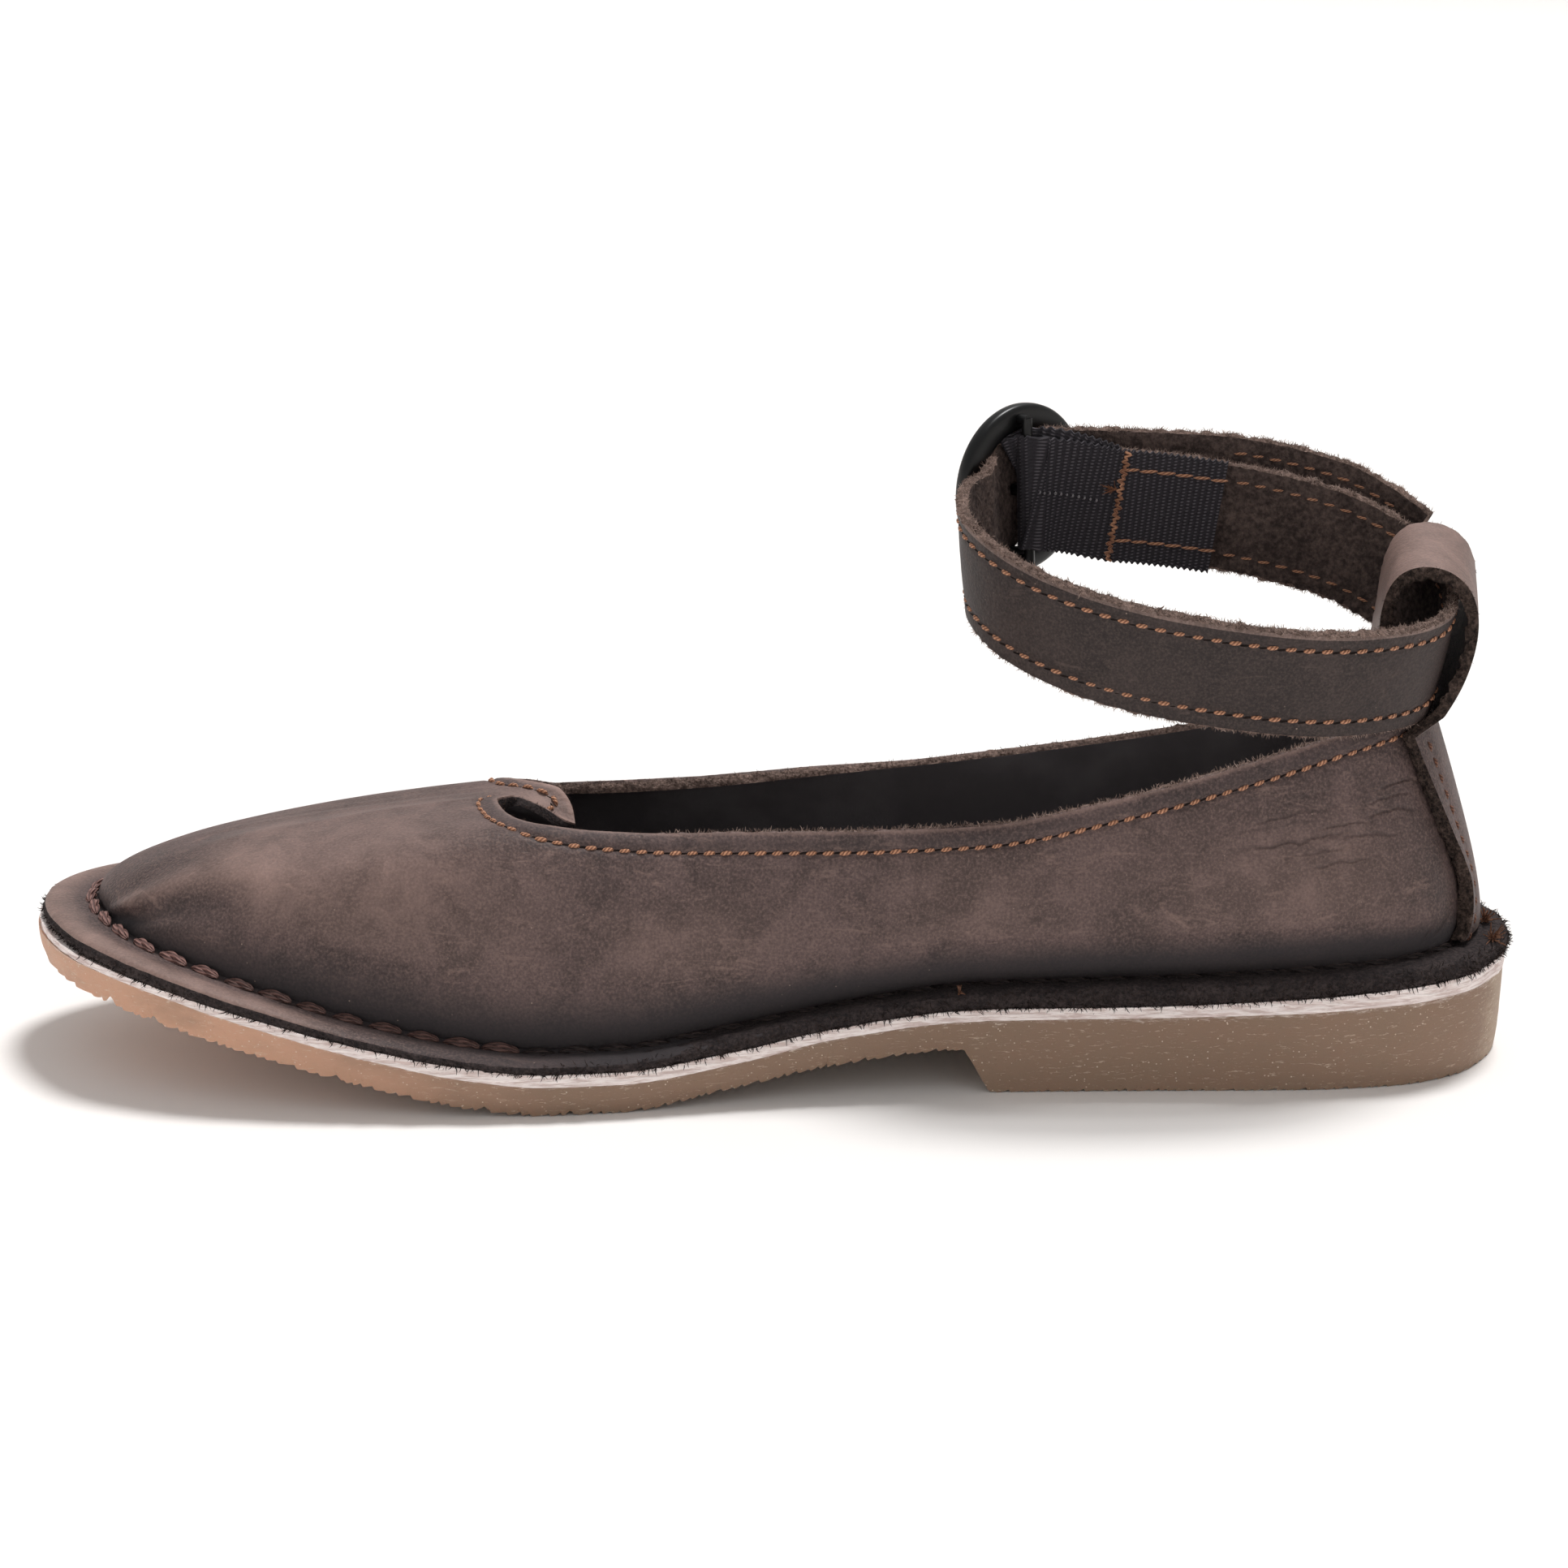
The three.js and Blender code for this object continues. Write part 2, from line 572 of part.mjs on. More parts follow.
// Buckle axes: along the strap towards the toe, outwards, and along the bar.
function buckleFrame() {
  const before = ovalPoint(BUCKLE_TURN - 1, BAR_OUT, BUCKLE_LIFT);
  const after = ovalPoint(BUCKLE_TURN + 1, BAR_OUT, BUCKLE_LIFT);
  const along = after.sub(before).normalize();
  const up = ovalFrame(BUCKLE_TURN).up;
  const out = up.clone().cross(along).normalize();
  if (out.dot(ovalFrame(BUCKLE_TURN).out) < 0) out.negate();
  const bar = along.clone().cross(out).normalize();
  const yaw = -THREE.MathUtils.degToRad(BUCKLE_YAW);
  return { along: along.applyAxisAngle(bar, yaw), out: out.applyAxisAngle(bar, yaw), bar };
}

// Round ring, and a bar held below it on two posts.
const RING_SIDES = 8;
function buckleGeometry() {
  const { outer, inner, depth, bar, drop } = BUCKLE;
  const middle = (outer + inner) / 2;
  const square = (v) => Math.sign(v) * Math.abs(v) ** 0.6;
  const profile = Array.from({ length: RING_SIDES }, (_, i) => {
    const angle = 2 * Math.PI * i / RING_SIDES;
    const radius = middle + (outer - inner) / 2 * square(Math.cos(angle));
    return new THREE.Vector2(radius, depth / 2 * square(Math.sin(angle)));
  });
  profile.push(profile[0].clone());
  const reach = inner + 0.2;
  const rod = (length) => new THREE.CylinderGeometry(bar, bar, length, 12);
  const pin = rod(2 * (reach + bar)).rotateX(Math.PI / 2).translate(0, -drop, 0);
  const posts = [-reach, reach].map((z) => rod(drop).translate(0, -drop / 2, z));
  const ring = toSolid(new THREE.LatheGeometry(profile, 40));
  const solid = [pin, ...posts].reduce((sum, piece) => sum.add(toSolid(piece)), ring);
  const geometry = fromSolid(solid);
  const frame = buckleFrame();
  const centre = ovalPoint(BUCKLE_TURN, BAR_OUT, BUCKLE_LIFT).addScaledVector(frame.out, drop);
  geometry.applyMatrix4(new THREE.Matrix4().makeBasis(frame.along, frame.out, frame.bar));
  geometry.translate(centre.x, centre.y, centre.z);
  return geometry;
}

// Prong: from the bar out through the strap, and forward onto the ring's outer face.
function prongPoints() {
  const frame = buckleFrame();
  const bar = ovalPoint(BUCKLE_TURN, BAR_OUT, BUCKLE_LIFT);
  const rest = BUCKLE.drop + BUCKLE.depth / 2 + BUCKLE.prong + GAP;
  const rows = table(
    ['along', 'out'], [
      [0, BUCKLE.bar + GAP],
      [0.3, 3.5],
      [1.6, rest + 0.2],
      [5, rest + 0.7],
      [10, rest + 0.3],
      [14, rest],
      [16.2, rest - 0.3],
    ]);
  return rows.map((row) => bar.clone()
    .addScaledVector(frame.along, row.along)
    .addScaledVector(frame.out, row.out));
}

const holeTools = () => HOLE_TURNS.map((turn) => {
  const frame = ovalFrame(turn);
  const p = ovalPoint(turn, 0, 0);
  const ends = [-4, 6].map((reach) => p.clone().addScaledVector(frame.out, reach));
  const middle = ends[0].clone().lerp(ends[1], 0.5);
  return toSolid(rodGeometry([ends[0], middle, ends[1]], HOLE_RADIUS, 10));
});

// Assembly

const paint = (color, roughness, metalness = 0) => (
  new THREE.MeshStandardMaterial({ color, roughness, metalness }));
const shoe = new THREE.Group();
const add = (name, geometry, material) => {
  const mesh = new THREE.Mesh(geometry, material);
  mesh.name = name;
  shoe.add(mesh);
};

const prong = prongPoints();
const prongRoot = prong[0].clone().multiplyScalar(2).sub(prong[1]);
const prongTool = toSolid(rodGeometry([prongRoot, ...prong], BUCKLE.prong + GAP, 10));
const strapBand = toSolid(bandGeometry(ovalRun(STRAP, STRAP_STEPS), STRAP_WIDTH, LEATHER));
const strapSolid = [prongTool, ...holeTools()].reduce((solid, tool) => solid.subtract(tool), strapBand);
const elasticBand = toSolid(bandGeometry(elasticRoute(), ELASTIC_WIDTH, ELASTIC_THICKNESS));
const elasticSolid = elasticBand.subtract(prongTool);

add('outsole', outsoleGeometry(), paint('#a08264', 0.6));
add('runner', runnerGeometry(), paint('#ddd0ca', 0.8));
add('upper', upperGeometry(), paint('#4a3d38', 0.62));
add('insole', insoleGeometry(), paint('#2a2322', 0.85));
add('backstay', backstayGeometry(), paint('#53453f', 0.6));
add('ankle_strap', fromSolid(strapSolid), paint('#463a36', 0.62));
add('elastic', fromSolid(elasticSolid), paint('#1c1c1f', 0.85));
add('buckle_ring', buckleGeometry(), paint('#151517', 0.25, 0.6));
add('buckle_prong', rodGeometry(prong, BUCKLE.prong, 10), paint('#151517', 0.25, 0.6));

// The frame's origin is under the middle of the whole shoe.
const box = new THREE.Box3().setFromObject(shoe);
shoe.position.set(-(box.min.x + box.max.x) / 2, -(box.min.y + box.max.y) / 2, -box.min.z);

export default shoe;
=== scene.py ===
"""Looks for a right-foot flat shoe with an ankle strap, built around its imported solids.

Shapes are worked out in millimetres, in the same tables as the solids, and put into the frame in metres.
"""
import math

import bpy
import numpy as np
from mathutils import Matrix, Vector
from mathutils.bvhtree import BVHTree


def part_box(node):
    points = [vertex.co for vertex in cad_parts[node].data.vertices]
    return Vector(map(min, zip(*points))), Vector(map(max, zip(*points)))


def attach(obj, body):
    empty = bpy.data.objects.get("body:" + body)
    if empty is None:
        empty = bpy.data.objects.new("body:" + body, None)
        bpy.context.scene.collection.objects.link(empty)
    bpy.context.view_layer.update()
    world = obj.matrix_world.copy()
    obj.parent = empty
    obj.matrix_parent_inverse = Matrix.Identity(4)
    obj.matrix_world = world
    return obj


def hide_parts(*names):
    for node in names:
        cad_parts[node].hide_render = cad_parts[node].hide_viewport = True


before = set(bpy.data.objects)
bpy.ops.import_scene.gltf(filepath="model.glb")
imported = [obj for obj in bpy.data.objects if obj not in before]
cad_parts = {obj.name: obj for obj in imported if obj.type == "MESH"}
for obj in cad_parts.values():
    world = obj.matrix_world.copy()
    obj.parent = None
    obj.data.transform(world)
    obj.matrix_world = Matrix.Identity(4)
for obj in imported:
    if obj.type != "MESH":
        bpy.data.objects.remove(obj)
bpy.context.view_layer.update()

# Sizes of the shoe, in millimetres
MM = 0.001
LENGTH = 270
LEATHER = 2.2
SOLE_EDGE_TAPER = 1.0
RUNNER_INSET = -0.15
GAP = 0.3
STRAP_WIDTH = 20.5
ELASTIC_WIDTH = 21.2
ELASTIC_THICKNESS = 1.0
BACKSTAY_WIDTH = 23
BACKSTAY_THICKNESS = 2.2
LOOP_WIDTH = 22
LOOP_ROLL = math.radians(10)
LOOP_YAW = 0.16
HOLE_RADIUS = 1.7
HOLE_TURNS = (-179, -197)
RING = dict(outer=15.9, inner=11.1, depth=3.2, bar=1.0, drop=3.4, prong=1.0, shift=1.3)
OVAL = dict(x=77.7, z=84.7, length=42.6, width=26.5, power=2.3, roll=0.356, pitch=0.14, dip=1.7,
            flare=0.13, lean_x=0.03, lean_y=-0.13)
BUCKLE_TURN = 131
BUCKLE_YAW = math.radians(13)
BUCKLE_LIFT = 1.8
BAR_OUT = 2.4
DOME_POWER = 2.4
DROOP_START = 0.84

# Seams: pitch of the stitches, and distance from the edge
COLLAR_SEAM = dict(pitch=3.0, inset=3.7)
STRAP_SEAM = dict(pitch=3.3, inset=3.3)
WELT_SEAM = dict(pitch=6.9, inset=1.5)
BACKSTAY_SEAM = dict(pitch=3.2, inset=2.6)
# Grooves that the seams pull into the leather, and how far it puffs up beside them
COLLAR_GROOVE = dict(depth=0.38, width=0.6, puff=0.28)
STRAP_GROOVE = dict(depth=0.3, width=0.55, puff=0.18)

# Elastic: pitch of its ribs and of the loops in them, and where its bar tack sits along the shoe
RIB_PITCH = 1.15
LOOP_PITCH = 0.62
TACK_X = 64.2

# Camera, from the photo's viewing angle
CAMERA_DISTANCE = 650
CAMERA_HEIGHT = math.radians(15.5)
CAMERA_TARGET = (1.6, 0, 48.67)
CAMERA_LENS = 81.24


def table(columns, rows):
    """Columns of numbers by name."""
    return {name: np.array([row[i] for row in rows], float) for i, name in enumerate(columns.split())}


# Sole sections: distance from the toe, half widths, tops of the layers at the edge, and width of the welt
SOLE = table("at medial lateral tread sole runner flange welt", [
    (0, -4.0, 4.0, 17.4, 23.2, 24.4, 27.4, 9.6),
    (4, 12.3, 16.2, 17.2, 22.9, 24.1, 27.2, 9.6),
    (12, 24.6, 25.0, 16.4, 22.1, 23.2, 26.6, 9.5),
    (24, 33.2, 32.5, 14.0, 19.9, 21.0, 24.2, 9.3),
    (42, 39.8, 39.4, 10.1, 15.7, 17.1, 19.8, 9.0),
    (64, 43.3, 44.2, 4.8, 10.5, 12.2, 14.3, 8.7),
    (82, 44.5, 47.0, 1.3, 7.1, 9.1, 11.1, 8.4),
    (94, 44.1, 47.8, 0.0, 5.8, 7.9, 9.9, 8.2),
    (108, 42.3, 47.5, 0.0, 5.7, 7.8, 10.0, 8.0),
    (127, 38.2, 45.0, 2.8, 7.8, 9.9, 12.6, 7.6),
    (146, 34.6, 41.5, 6.0, 11.4, 13.2, 15.8, 7.2),
    (168, 32.4, 37.7, 8.1, 13.8, 15.7, 18.8, 7.0),
    (174, 32.1, 36.9, 0.0, 14.0, 15.9, 19.1, 7.0),
    (200, 31.4, 34.0, 0.0, 14.2, 16.1, 19.6, 7.0),
    (228, 31.0, 31.6, 0.0, 14.9, 17.3, 20.9, 7.2),
    (246, 28.8, 28.8, 0.0, 15.7, 18.4, 21.9, 7.4),
    (258, 23.4, 23.1, 0.0, 16.1, 18.9, 22.5, 7.6),
    (266, 13.8, 13.5, 0.0, 16.2, 19.0, 22.6, 7.7),
    (270, 0.0, 0.0, 0.0, 16.2, 19.0, 22.6, 7.7),
])
# Upper edge by way round the shoe: -1 heel, inner side, 0 toe, outer side, 1 heel
TOPLINE = table("way at side z droop", [
    (-1.00, 252.0, 0.0, 65.0, 0),
    (-0.92, 248.5, -9.8, 65.0, 0),
    (-0.84, 240.0, -16.6, 63.8, 0),
    (-0.75, 222.0, -21.6, 59.2, 0),
    (-0.66, 197.0, -24.5, 52.8, 0),
    (-0.58, 171.0, -25.5, 47.9, 0),
    (-0.50, 143.0, -26.0, 47.0, 0),
    (-0.43, 118.0, -26.2, 47.0, 0),
    (-0.37, 103.0, -25.8, 47.5, 0),
    (-0.31, 94.0, -24.6, 48.1, 0),
    (-0.25, 89.0, -20.7, 48.0, 0),
    (-0.19, 86.0, -14.0, 47.8, 0),
    (-0.13, 84.4, -7.0, 47.8, 0),
    (-0.09, 86.8, -4.4, 47.8, 0.4),
    (-0.055, 91.8, -2.2, 45.4, 2.8),
    (-0.02, 96.8, 0.2, 41.4, 6.9),
    (0.00, 98.0, 1.0, 40.8, 7.6),
    (0.02, 97.4, 3.2, 43.2, 4.8),
    (0.05, 94.6, 6.2, 46.3, 1.4),
    (0.09, 88.2, 9.2, 46.9, 0.2),
    (0.13, 84.9, 12.0, 46.5, 0),
    (0.19, 86.2, 17.0, 45.0, 0),
    (0.25, 89.0, 21.4, 43.6, 0),
    (0.31, 94.0, 24.9, 42.0, 0),
    (0.37, 103.0, 26.4, 41.8, 0),
    (0.43, 118.0, 26.9, 42.4, 0),
    (0.50, 143.0, 26.9, 44.7, 0),
    (0.58, 171.0, 26.3, 47.5, 0),
    (0.66, 197.0, 25.0, 51.0, 0),
    (0.75, 222.0, 21.8, 56.0, 0),
    (0.84, 240.0, 16.8, 61.8, 0),
    (0.92, 248.5, 9.8, 64.4, 0),
    (1.00, 252.0, 0.0, 65.0, 0),
])
# How the wall climbs from the welt
WALL = table("way round slope bulge", [
    (-1.00, 0.05, 0.2, 1.6),
    (-0.80, 0.10, 0.2, 3.4),
    (-0.60, 0.15, 0.2, 4.4),
    (-0.45, 0.35, 0.1, 3.4),
    (-0.34, 0.85, 0.05, 1.4),
    (-0.20, 1.00, 0.20, 0.0),
    (0.00, 1.00, 0.40, 0.0),
    (0.20, 1.00, 0.42, 0.0),
    (0.34, 0.85, 0.20, 1.2),
    (0.45, 0.35, 0.1, 2.6),
    (0.60, 0.15, 0.2, 3.2),
    (0.80, 0.10, 0.2, 3.0),
    (1.00, 0.05, 0.2, 1.6),
])
# Middle of the heel loop's outer face
LOOP = table("x z roll sag", [
    (122.4, 64.0, 0.0, 2.4),
    (123.9, 67.5, 0.2, 1.6),
    (126.1, 73.0, 0.6, 0.8),
    (127.4, 80.0, 0.9, 0.2),
    (127.4, 86.5, 1.0, 0.0),
    (124.4, 91.3, 1.0, 0.0),
    (120.5, 93.3, 1.0, 0.0),
    (116.6, 93.8, 1.0, 0.0),
    (113.2, 92.8, 1.0, 0.0),
    (110.9, 90.2, 1.0, 0.0),
    (109.7, 86.0, 1.0, 0.0),
    (109.1, 80.5, 0.9, 0.0),
    (109.2, 74.0, 0.6, 0.0),
    (110.1, 67.5, 0.2, 2.5),
    (111.8, 61.5, 0.0, 6.5),
    (113.2, 56.0, 0.0, 7.0),
])
# Strap and elastic: degrees round the oval, distance outside it, and lift above it
STRAP = table("turn out lift", [
    (107, 0, 0.3),
    (90, 0, 0.3),
    (0, 0, 0),
    (-60, 0, 0.2),
    (-100, 0, 0.7),
    (-135, 0.2, 1.4),
    (-158, 0.5, 1.9),
    (-172, 0.6, 1.5),
    (-188, 0.4, 0.4),
    (-207, 0.4, -1.0),
    (-217, 3.2, -1.5),
    (-223, 5.7, -1.1),
    (-229, 6.9, 0.4),
    (-235, 6.1, 1.2),
    (-241, 4.8, 1.6),
    (-250, 4.4, 1.9),
    (-262, 4.8, 2.0),
    (-278, 6.6, 2.3),
    (-300, 7.6, 1.9),
    (-312, 8.0, 0.9),
    (-322, 8.2, 0),
])
ELASTIC_INNER = table("turn out lift", [
    (85, -1.95, 0.9),
    (95, -1.95, 0.9),
    (105, -1.95, 0.9),
    (111, -1.3, 1.0),
    (117, -0.3, 1.3),
    (125, 0.55, 1.7),
    (129, 0.7, 1.8),
])
ELASTIC_OUTER = table("turn out lift", [
    (129, 4.0, 2.3),
    (124, 2.5, 2.6),
    (118, 1.0, 2.2),
    (114, 0.4, 1.6),
    (110, 0.0, 0.9),
])


# Curves and surfaces of the shoe

def smooth(xs, ys):
    """Smooth curve through points that never overshoots them."""
    steps = np.diff(xs)
    rates = np.diff(ys) / steps
    slopes = np.empty(len(ys))
    slopes[0], slopes[-1] = rates[0], rates[-1]
    for i in range(1, len(ys) - 1):
        before = 2 * steps[i] + steps[i - 1]
        after = steps[i] + 2 * steps[i - 1]
        level = rates[i - 1] * rates[i] <= 0
        slopes[i] = 0 if level else (before + after) / (before / rates[i - 1] + after / rates[i])

    def value(x):
        x = np.asarray(x, float)
        i = np.clip(np.searchsorted(xs, x) - 1, 0, len(steps) - 1)
        t = np.clip((x - xs[i]) / steps[i], 0, 1)
        rise = (t * (1 - t) ** 2 * slopes[i] - t * t * (1 - t) * slopes[i + 1]) * steps[i]
        return ys[i] + (ys[i + 1] - ys[i]) * t * t * (3 - 2 * t) + rise
    return value


def curves(rows, by, names):
    return {name: smooth(rows[by], rows[name]) for name in names.split()}


def unit(v):
    return v / np.linalg.norm(v, axis=-1, keepdims=True)


def tangents(points):
    return unit(np.gradient(points, axis=0))


def mix(a, b, share):
    return a + (b - a) * share


def station_of(at):
    return np.arccos(np.clip(1 - 2 * np.asarray(at) / LENGTH, -1, 1)) / math.pi


def at_of(station):
    return LENGTH * (1 - np.cos(math.pi * station)) / 2


SOLE["station"] = station_of(SOLE["at"])
sole = curves(SOLE, "station", "medial lateral tread sole runner flange welt")
topline = curves(TOPLINE, "way", "at side z droop")
wall = curves(WALL, "way", "round slope bulge")


def height_at(layer, x):
    return sole[layer](station_of(x + LENGTH / 2))


def wrapped(way):
    return np.mod(np.asarray(way, float) + 1, 2) - 1


# Step for working out directions round the sole and on the wall
WAY_STEP = 0.004
UP = np.array([0, 0, 1.0])


def edge_point(way, inset):
    """Point of the sole's edge in plan, moved inwards."""
    def raw(turn):
        turn = wrapped(turn)
        station = np.abs(turn)
        y = np.where(turn < 0, -sole["medial"](station), sole["lateral"](station))
        return np.stack([at_of(station) - LENGTH / 2, y], -1)
    along = unit(raw(way + WAY_STEP) - raw(way - WAY_STEP))
    inward = np.stack([along[..., 1], -along[..., 0]], -1)
    return raw(way) + inward * np.asarray(inset, float)[..., None]


def raised(plan, z):
    return np.concatenate([plan, np.broadcast_to(z, plan.shape[:-1])[..., None]], -1)


def rim(way, inset, share):
    """Point of the welt between its underside (share 0) and its top (share 1)."""
    plan = edge_point(way, inset)
    low = height_at("runner", plan[..., 0]) + GAP / 2
    return raised(plan, mix(low, height_at("flange", plan[..., 0]), share))


def wall_point(way, climb):
    """Outer face of the upper's wall, from its foot (0) to the topline (1)."""
    way, climb = np.broadcast_arrays(wrapped(way), np.asarray(climb, float))
    foot = rim(way, sole["welt"](np.abs(way)), 1)
    top = np.stack([topline["at"](way) - LENGTH / 2, topline["side"](way), topline["z"](way)], -1)
    angle = climb * math.pi / 2
    dome_in = 1 - np.cos(angle) ** (2 / DOME_POWER)
    slope = wall["slope"](way)
    dome_up = np.sin(angle) ** (2 / DOME_POWER) * (1 - slope) + dome_in * slope
    inward = mix(climb, dome_in, wall["round"](way))
    up = mix(climb, dome_up, wall["round"](way))
    droop = topline["droop"](way)
    bent = np.maximum(0, (inward - DROOP_START) / (1 - DROOP_START)) ** 1.3
    out = edge_point(way, 0 * way) - edge_point(way, 0 * way + 1)
    plan = mix(foot[..., :2], top[..., :2], inward[..., None])
    plan = plan + out * (wall["bulge"](way) * np.sin(math.pi * climb ** 0.6))[..., None]
    return raised(plan, mix(foot[..., 2], top[..., 2] + droop, up) - droop * bent)


def wall_normal(way, climb, level=False):
    """Outward direction of the wall, or its level part."""
    way, climb = np.broadcast_arrays(np.asarray(way, float), np.asarray(climb, float))
    across = wall_point(way + WAY_STEP, climb) - wall_point(way - WAY_STEP, climb)
    above = wall_point(way, np.minimum(climb + WAY_STEP, 1))
    below = wall_point(way, np.maximum(climb - WAY_STEP, 0))
    normal = np.cross(above - below, across)
    if level:
        normal[..., 2] = 0
    return unit(normal)


def wall_offset(way, climb, distance, level=False):
    return wall_point(way, climb) + wall_normal(way, climb, level) * distance


def oval_frame(turn):
    """Point of the strap's oval, outward direction, and the band's width direction."""
    angle = np.radians(np.asarray(turn, float))
    c, s = np.cos(angle), np.sin(angle)
    full = 2 / OVAL["power"]
    flat = 2 - full
    level = 0 * c
    out = unit(np.stack([OVAL["width"] * np.sign(c) * np.abs(c) ** flat,
                         OVAL["length"] * np.sign(s) * np.abs(s) ** flat, level], -1))
    up = unit(np.array([OVAL["lean_x"], OVAL["lean_y"], 1]) + out * OVAL["flare"])
    base = np.stack([OVAL["x"] + OVAL["length"] * np.sign(c) * np.abs(c) ** full,
                     OVAL["width"] * np.sign(s) * np.abs(s) ** full, level], -1)
    return base, out, up


def oval_point(turn, out, lift):
    base, outward, _ = oval_frame(turn)
    p = base + outward * np.asarray(out, float)[..., None]
    rear = np.minimum(np.maximum(0, (p[..., 0] - OVAL["x"]) / OVAL["length"] - 0.6) / 0.4, 1.2)
    p[..., 2] = (OVAL["z"] + OVAL["roll"] * p[..., 1] - OVAL["pitch"] * (p[..., 0] - OVAL["x"])
                 - OVAL["dip"] * rear ** 2 + lift)
    return p


def oval_run(rows, steps):
    """Points and width directions along a table of turns."""
    sign = np.sign(rows["turn"][-1] - rows["turn"][0])
    out, lift = (smooth(sign * rows["turn"], rows[name]) for name in ("out", "lift"))
    turn = np.linspace(rows["turn"][0], rows["turn"][-1], steps + 1)
    return oval_point(turn, out(sign * turn), lift(sign * turn)), oval_frame(turn)[2]


def buckle_frame():
    """Bar's middle, and the buckle's axes: towards the toe, outwards, and along the bar."""
    turns = BUCKLE_TURN + np.array([-1.0, 0, 1])
    before, bar_at, after = oval_point(turns, np.full(3, BAR_OUT), BUCKLE_LIFT)
    along = unit(after - before)
    _, oval_out, up = oval_frame(BUCKLE_TURN)
    out = unit(np.cross(up, along))
    if out @ oval_out < 0:
        out = -out
    bar = unit(np.cross(along, out))
    c, s = math.cos(BUCKLE_YAW), math.sin(BUCKLE_YAW)
    return bar_at, along * c - out * s, out * c + along * s, bar


def run_along(line):
    """Distance along a line of points, at each of them."""
    return np.concatenate([[0], np.cumsum(np.linalg.norm(np.diff(line, axis=0), axis=1))])


def picked(at, run, values):
    """Values at distances along a line."""
    return np.stack([np.interp(at, run, values[:, k]) for k in range(3)], -1)


def resampled(points, pitch, closed=False):
    """Points at an even pitch along a line of points."""
    line = np.vstack([points, points[:1]]) if closed else np.asarray(points)
    run = run_along(line)
    at = np.linspace(0, run[-1], max(2, round(run[-1] / pitch) + 1))
    return picked(at[:-1] if closed else at, run, line)


def spline(points, per_span):
    """Catmull-Rom curve through points."""
    points = np.asarray(points, float)
    padded = np.vstack([2 * points[0] - points[1], points, 2 * points[-1] - points[-2]])
    t = np.linspace(0, 1, per_span, endpoint=False)[:, None]
    spans = []
    for a, b, c, d in zip(padded, padded[1:], padded[2:], padded[3:]):
        bend = 2 * a - 5 * b + 4 * c - d
        twist = 3 * b - a - 3 * c + d
        spans.append(0.5 * (2 * b + (c - a) * t + bend * t ** 2 + twist * t ** 3))
    return np.vstack(spans + [points[-1:]])


def softened(line, reach):
    """Line with its corners averaged over some points; its ends stay."""
    last = len(line) - 1
    spans = [min(reach, i, last - i) for i in range(len(line))]
    return np.array([line[i - k:i + k + 1].mean(0) for i, k in enumerate(spans)])


# Whole numbers that scramble the corners of a grid into noise
NOISE_STEPS = np.array([73856093, 19349663, 83492791])
NOISE_SEED = 97531
NOISE_MIX = 1274126177
WORD = 0xFFFFFFFF


def lumps(points, size, seed):
    """Soft noise between -1 and 1 with lumps of the given size."""
    p = np.asarray(points) / size + 1000.0
    cell = np.floor(p).astype(np.int64)
    f = p - cell
    f = f * f * (3 - 2 * f)
    total = np.zeros(p.shape[:-1])
    for corner in range(8):
        step = np.array([corner & 1, corner >> 1 & 1, corner >> 2 & 1])
        key = (cell + step) * NOISE_STEPS
        n = (key[..., 0] ^ key[..., 1] ^ key[..., 2] ^ (seed * NOISE_SEED)) & WORD
        n = ((n ^ (n >> 13)) * NOISE_MIX) & WORD
        n = (n ^ (n >> 16)) & 0xFFFF
        weight = np.prod(np.where(step == 1, f, 1 - f), axis=-1)
        total += weight * (n / 32767.5 - 1)
    return total


def crumbled(points, amount, size, seed):
    """Points pushed about like the crumbs of a raw leather edge."""
    push = np.stack([lumps(points, size, seed + k) + 0.6 * lumps(points, size / 2.3, seed + 7 + k)
                     for k in range(3)], -1)
    return points + np.asarray(amount)[..., None] * push


# Meshes

# The solids are centred between the sole's sides, which are at these widest places from the toe
WIDEST = dict(lateral=95.0, medial=83.0)
low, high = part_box("outsole")
lateral, medial = (sole[side](station_of(at)) for side, at in WIDEST.items())
SHIFT = np.array([0, (low.y + high.y) / 2 / MM - (lateral - medial) / 2, 0])
# Edges sharper than this stay sharp
CREASE = math.radians(50)
SOLE_CREASE = math.radians(35)


def object_from(name, mesh):
    piece = bpy.data.objects.new(name, mesh)
    bpy.context.scene.collection.objects.link(piece)
    return piece


def placed(points):
    """Millimetres of the tables to metres of the frame."""
    return ((np.asarray(points) + SHIFT) * MM).reshape(-1, 3)


def mesh_piece(name, points, faces, finishes=(), finish_of=None, uv=None, crease=CREASE):
    mesh = bpy.data.meshes.new(name)
    mesh.from_pydata(placed(points).tolist(), [], [list(map(int, face)) for face in faces])
    for finish in finishes:
        mesh.materials.append(finish)
    if finish_of is not None:
        mesh.polygons.foreach_set("material_index", np.asarray(finish_of, np.int32))
    if uv is not None:
        corners = np.empty(len(mesh.loops), np.int32)
        mesh.loops.foreach_get("vertex_index", corners)
        layer = mesh.uv_layers.new(name="UVMap")
        layer.data.foreach_set("uv", np.asarray(uv, np.float32)[corners].ravel())
    mesh.shade_smooth()
    mesh.set_sharp_from_angle(angle=crease)
    mesh.update()
    return object_from(name, mesh)


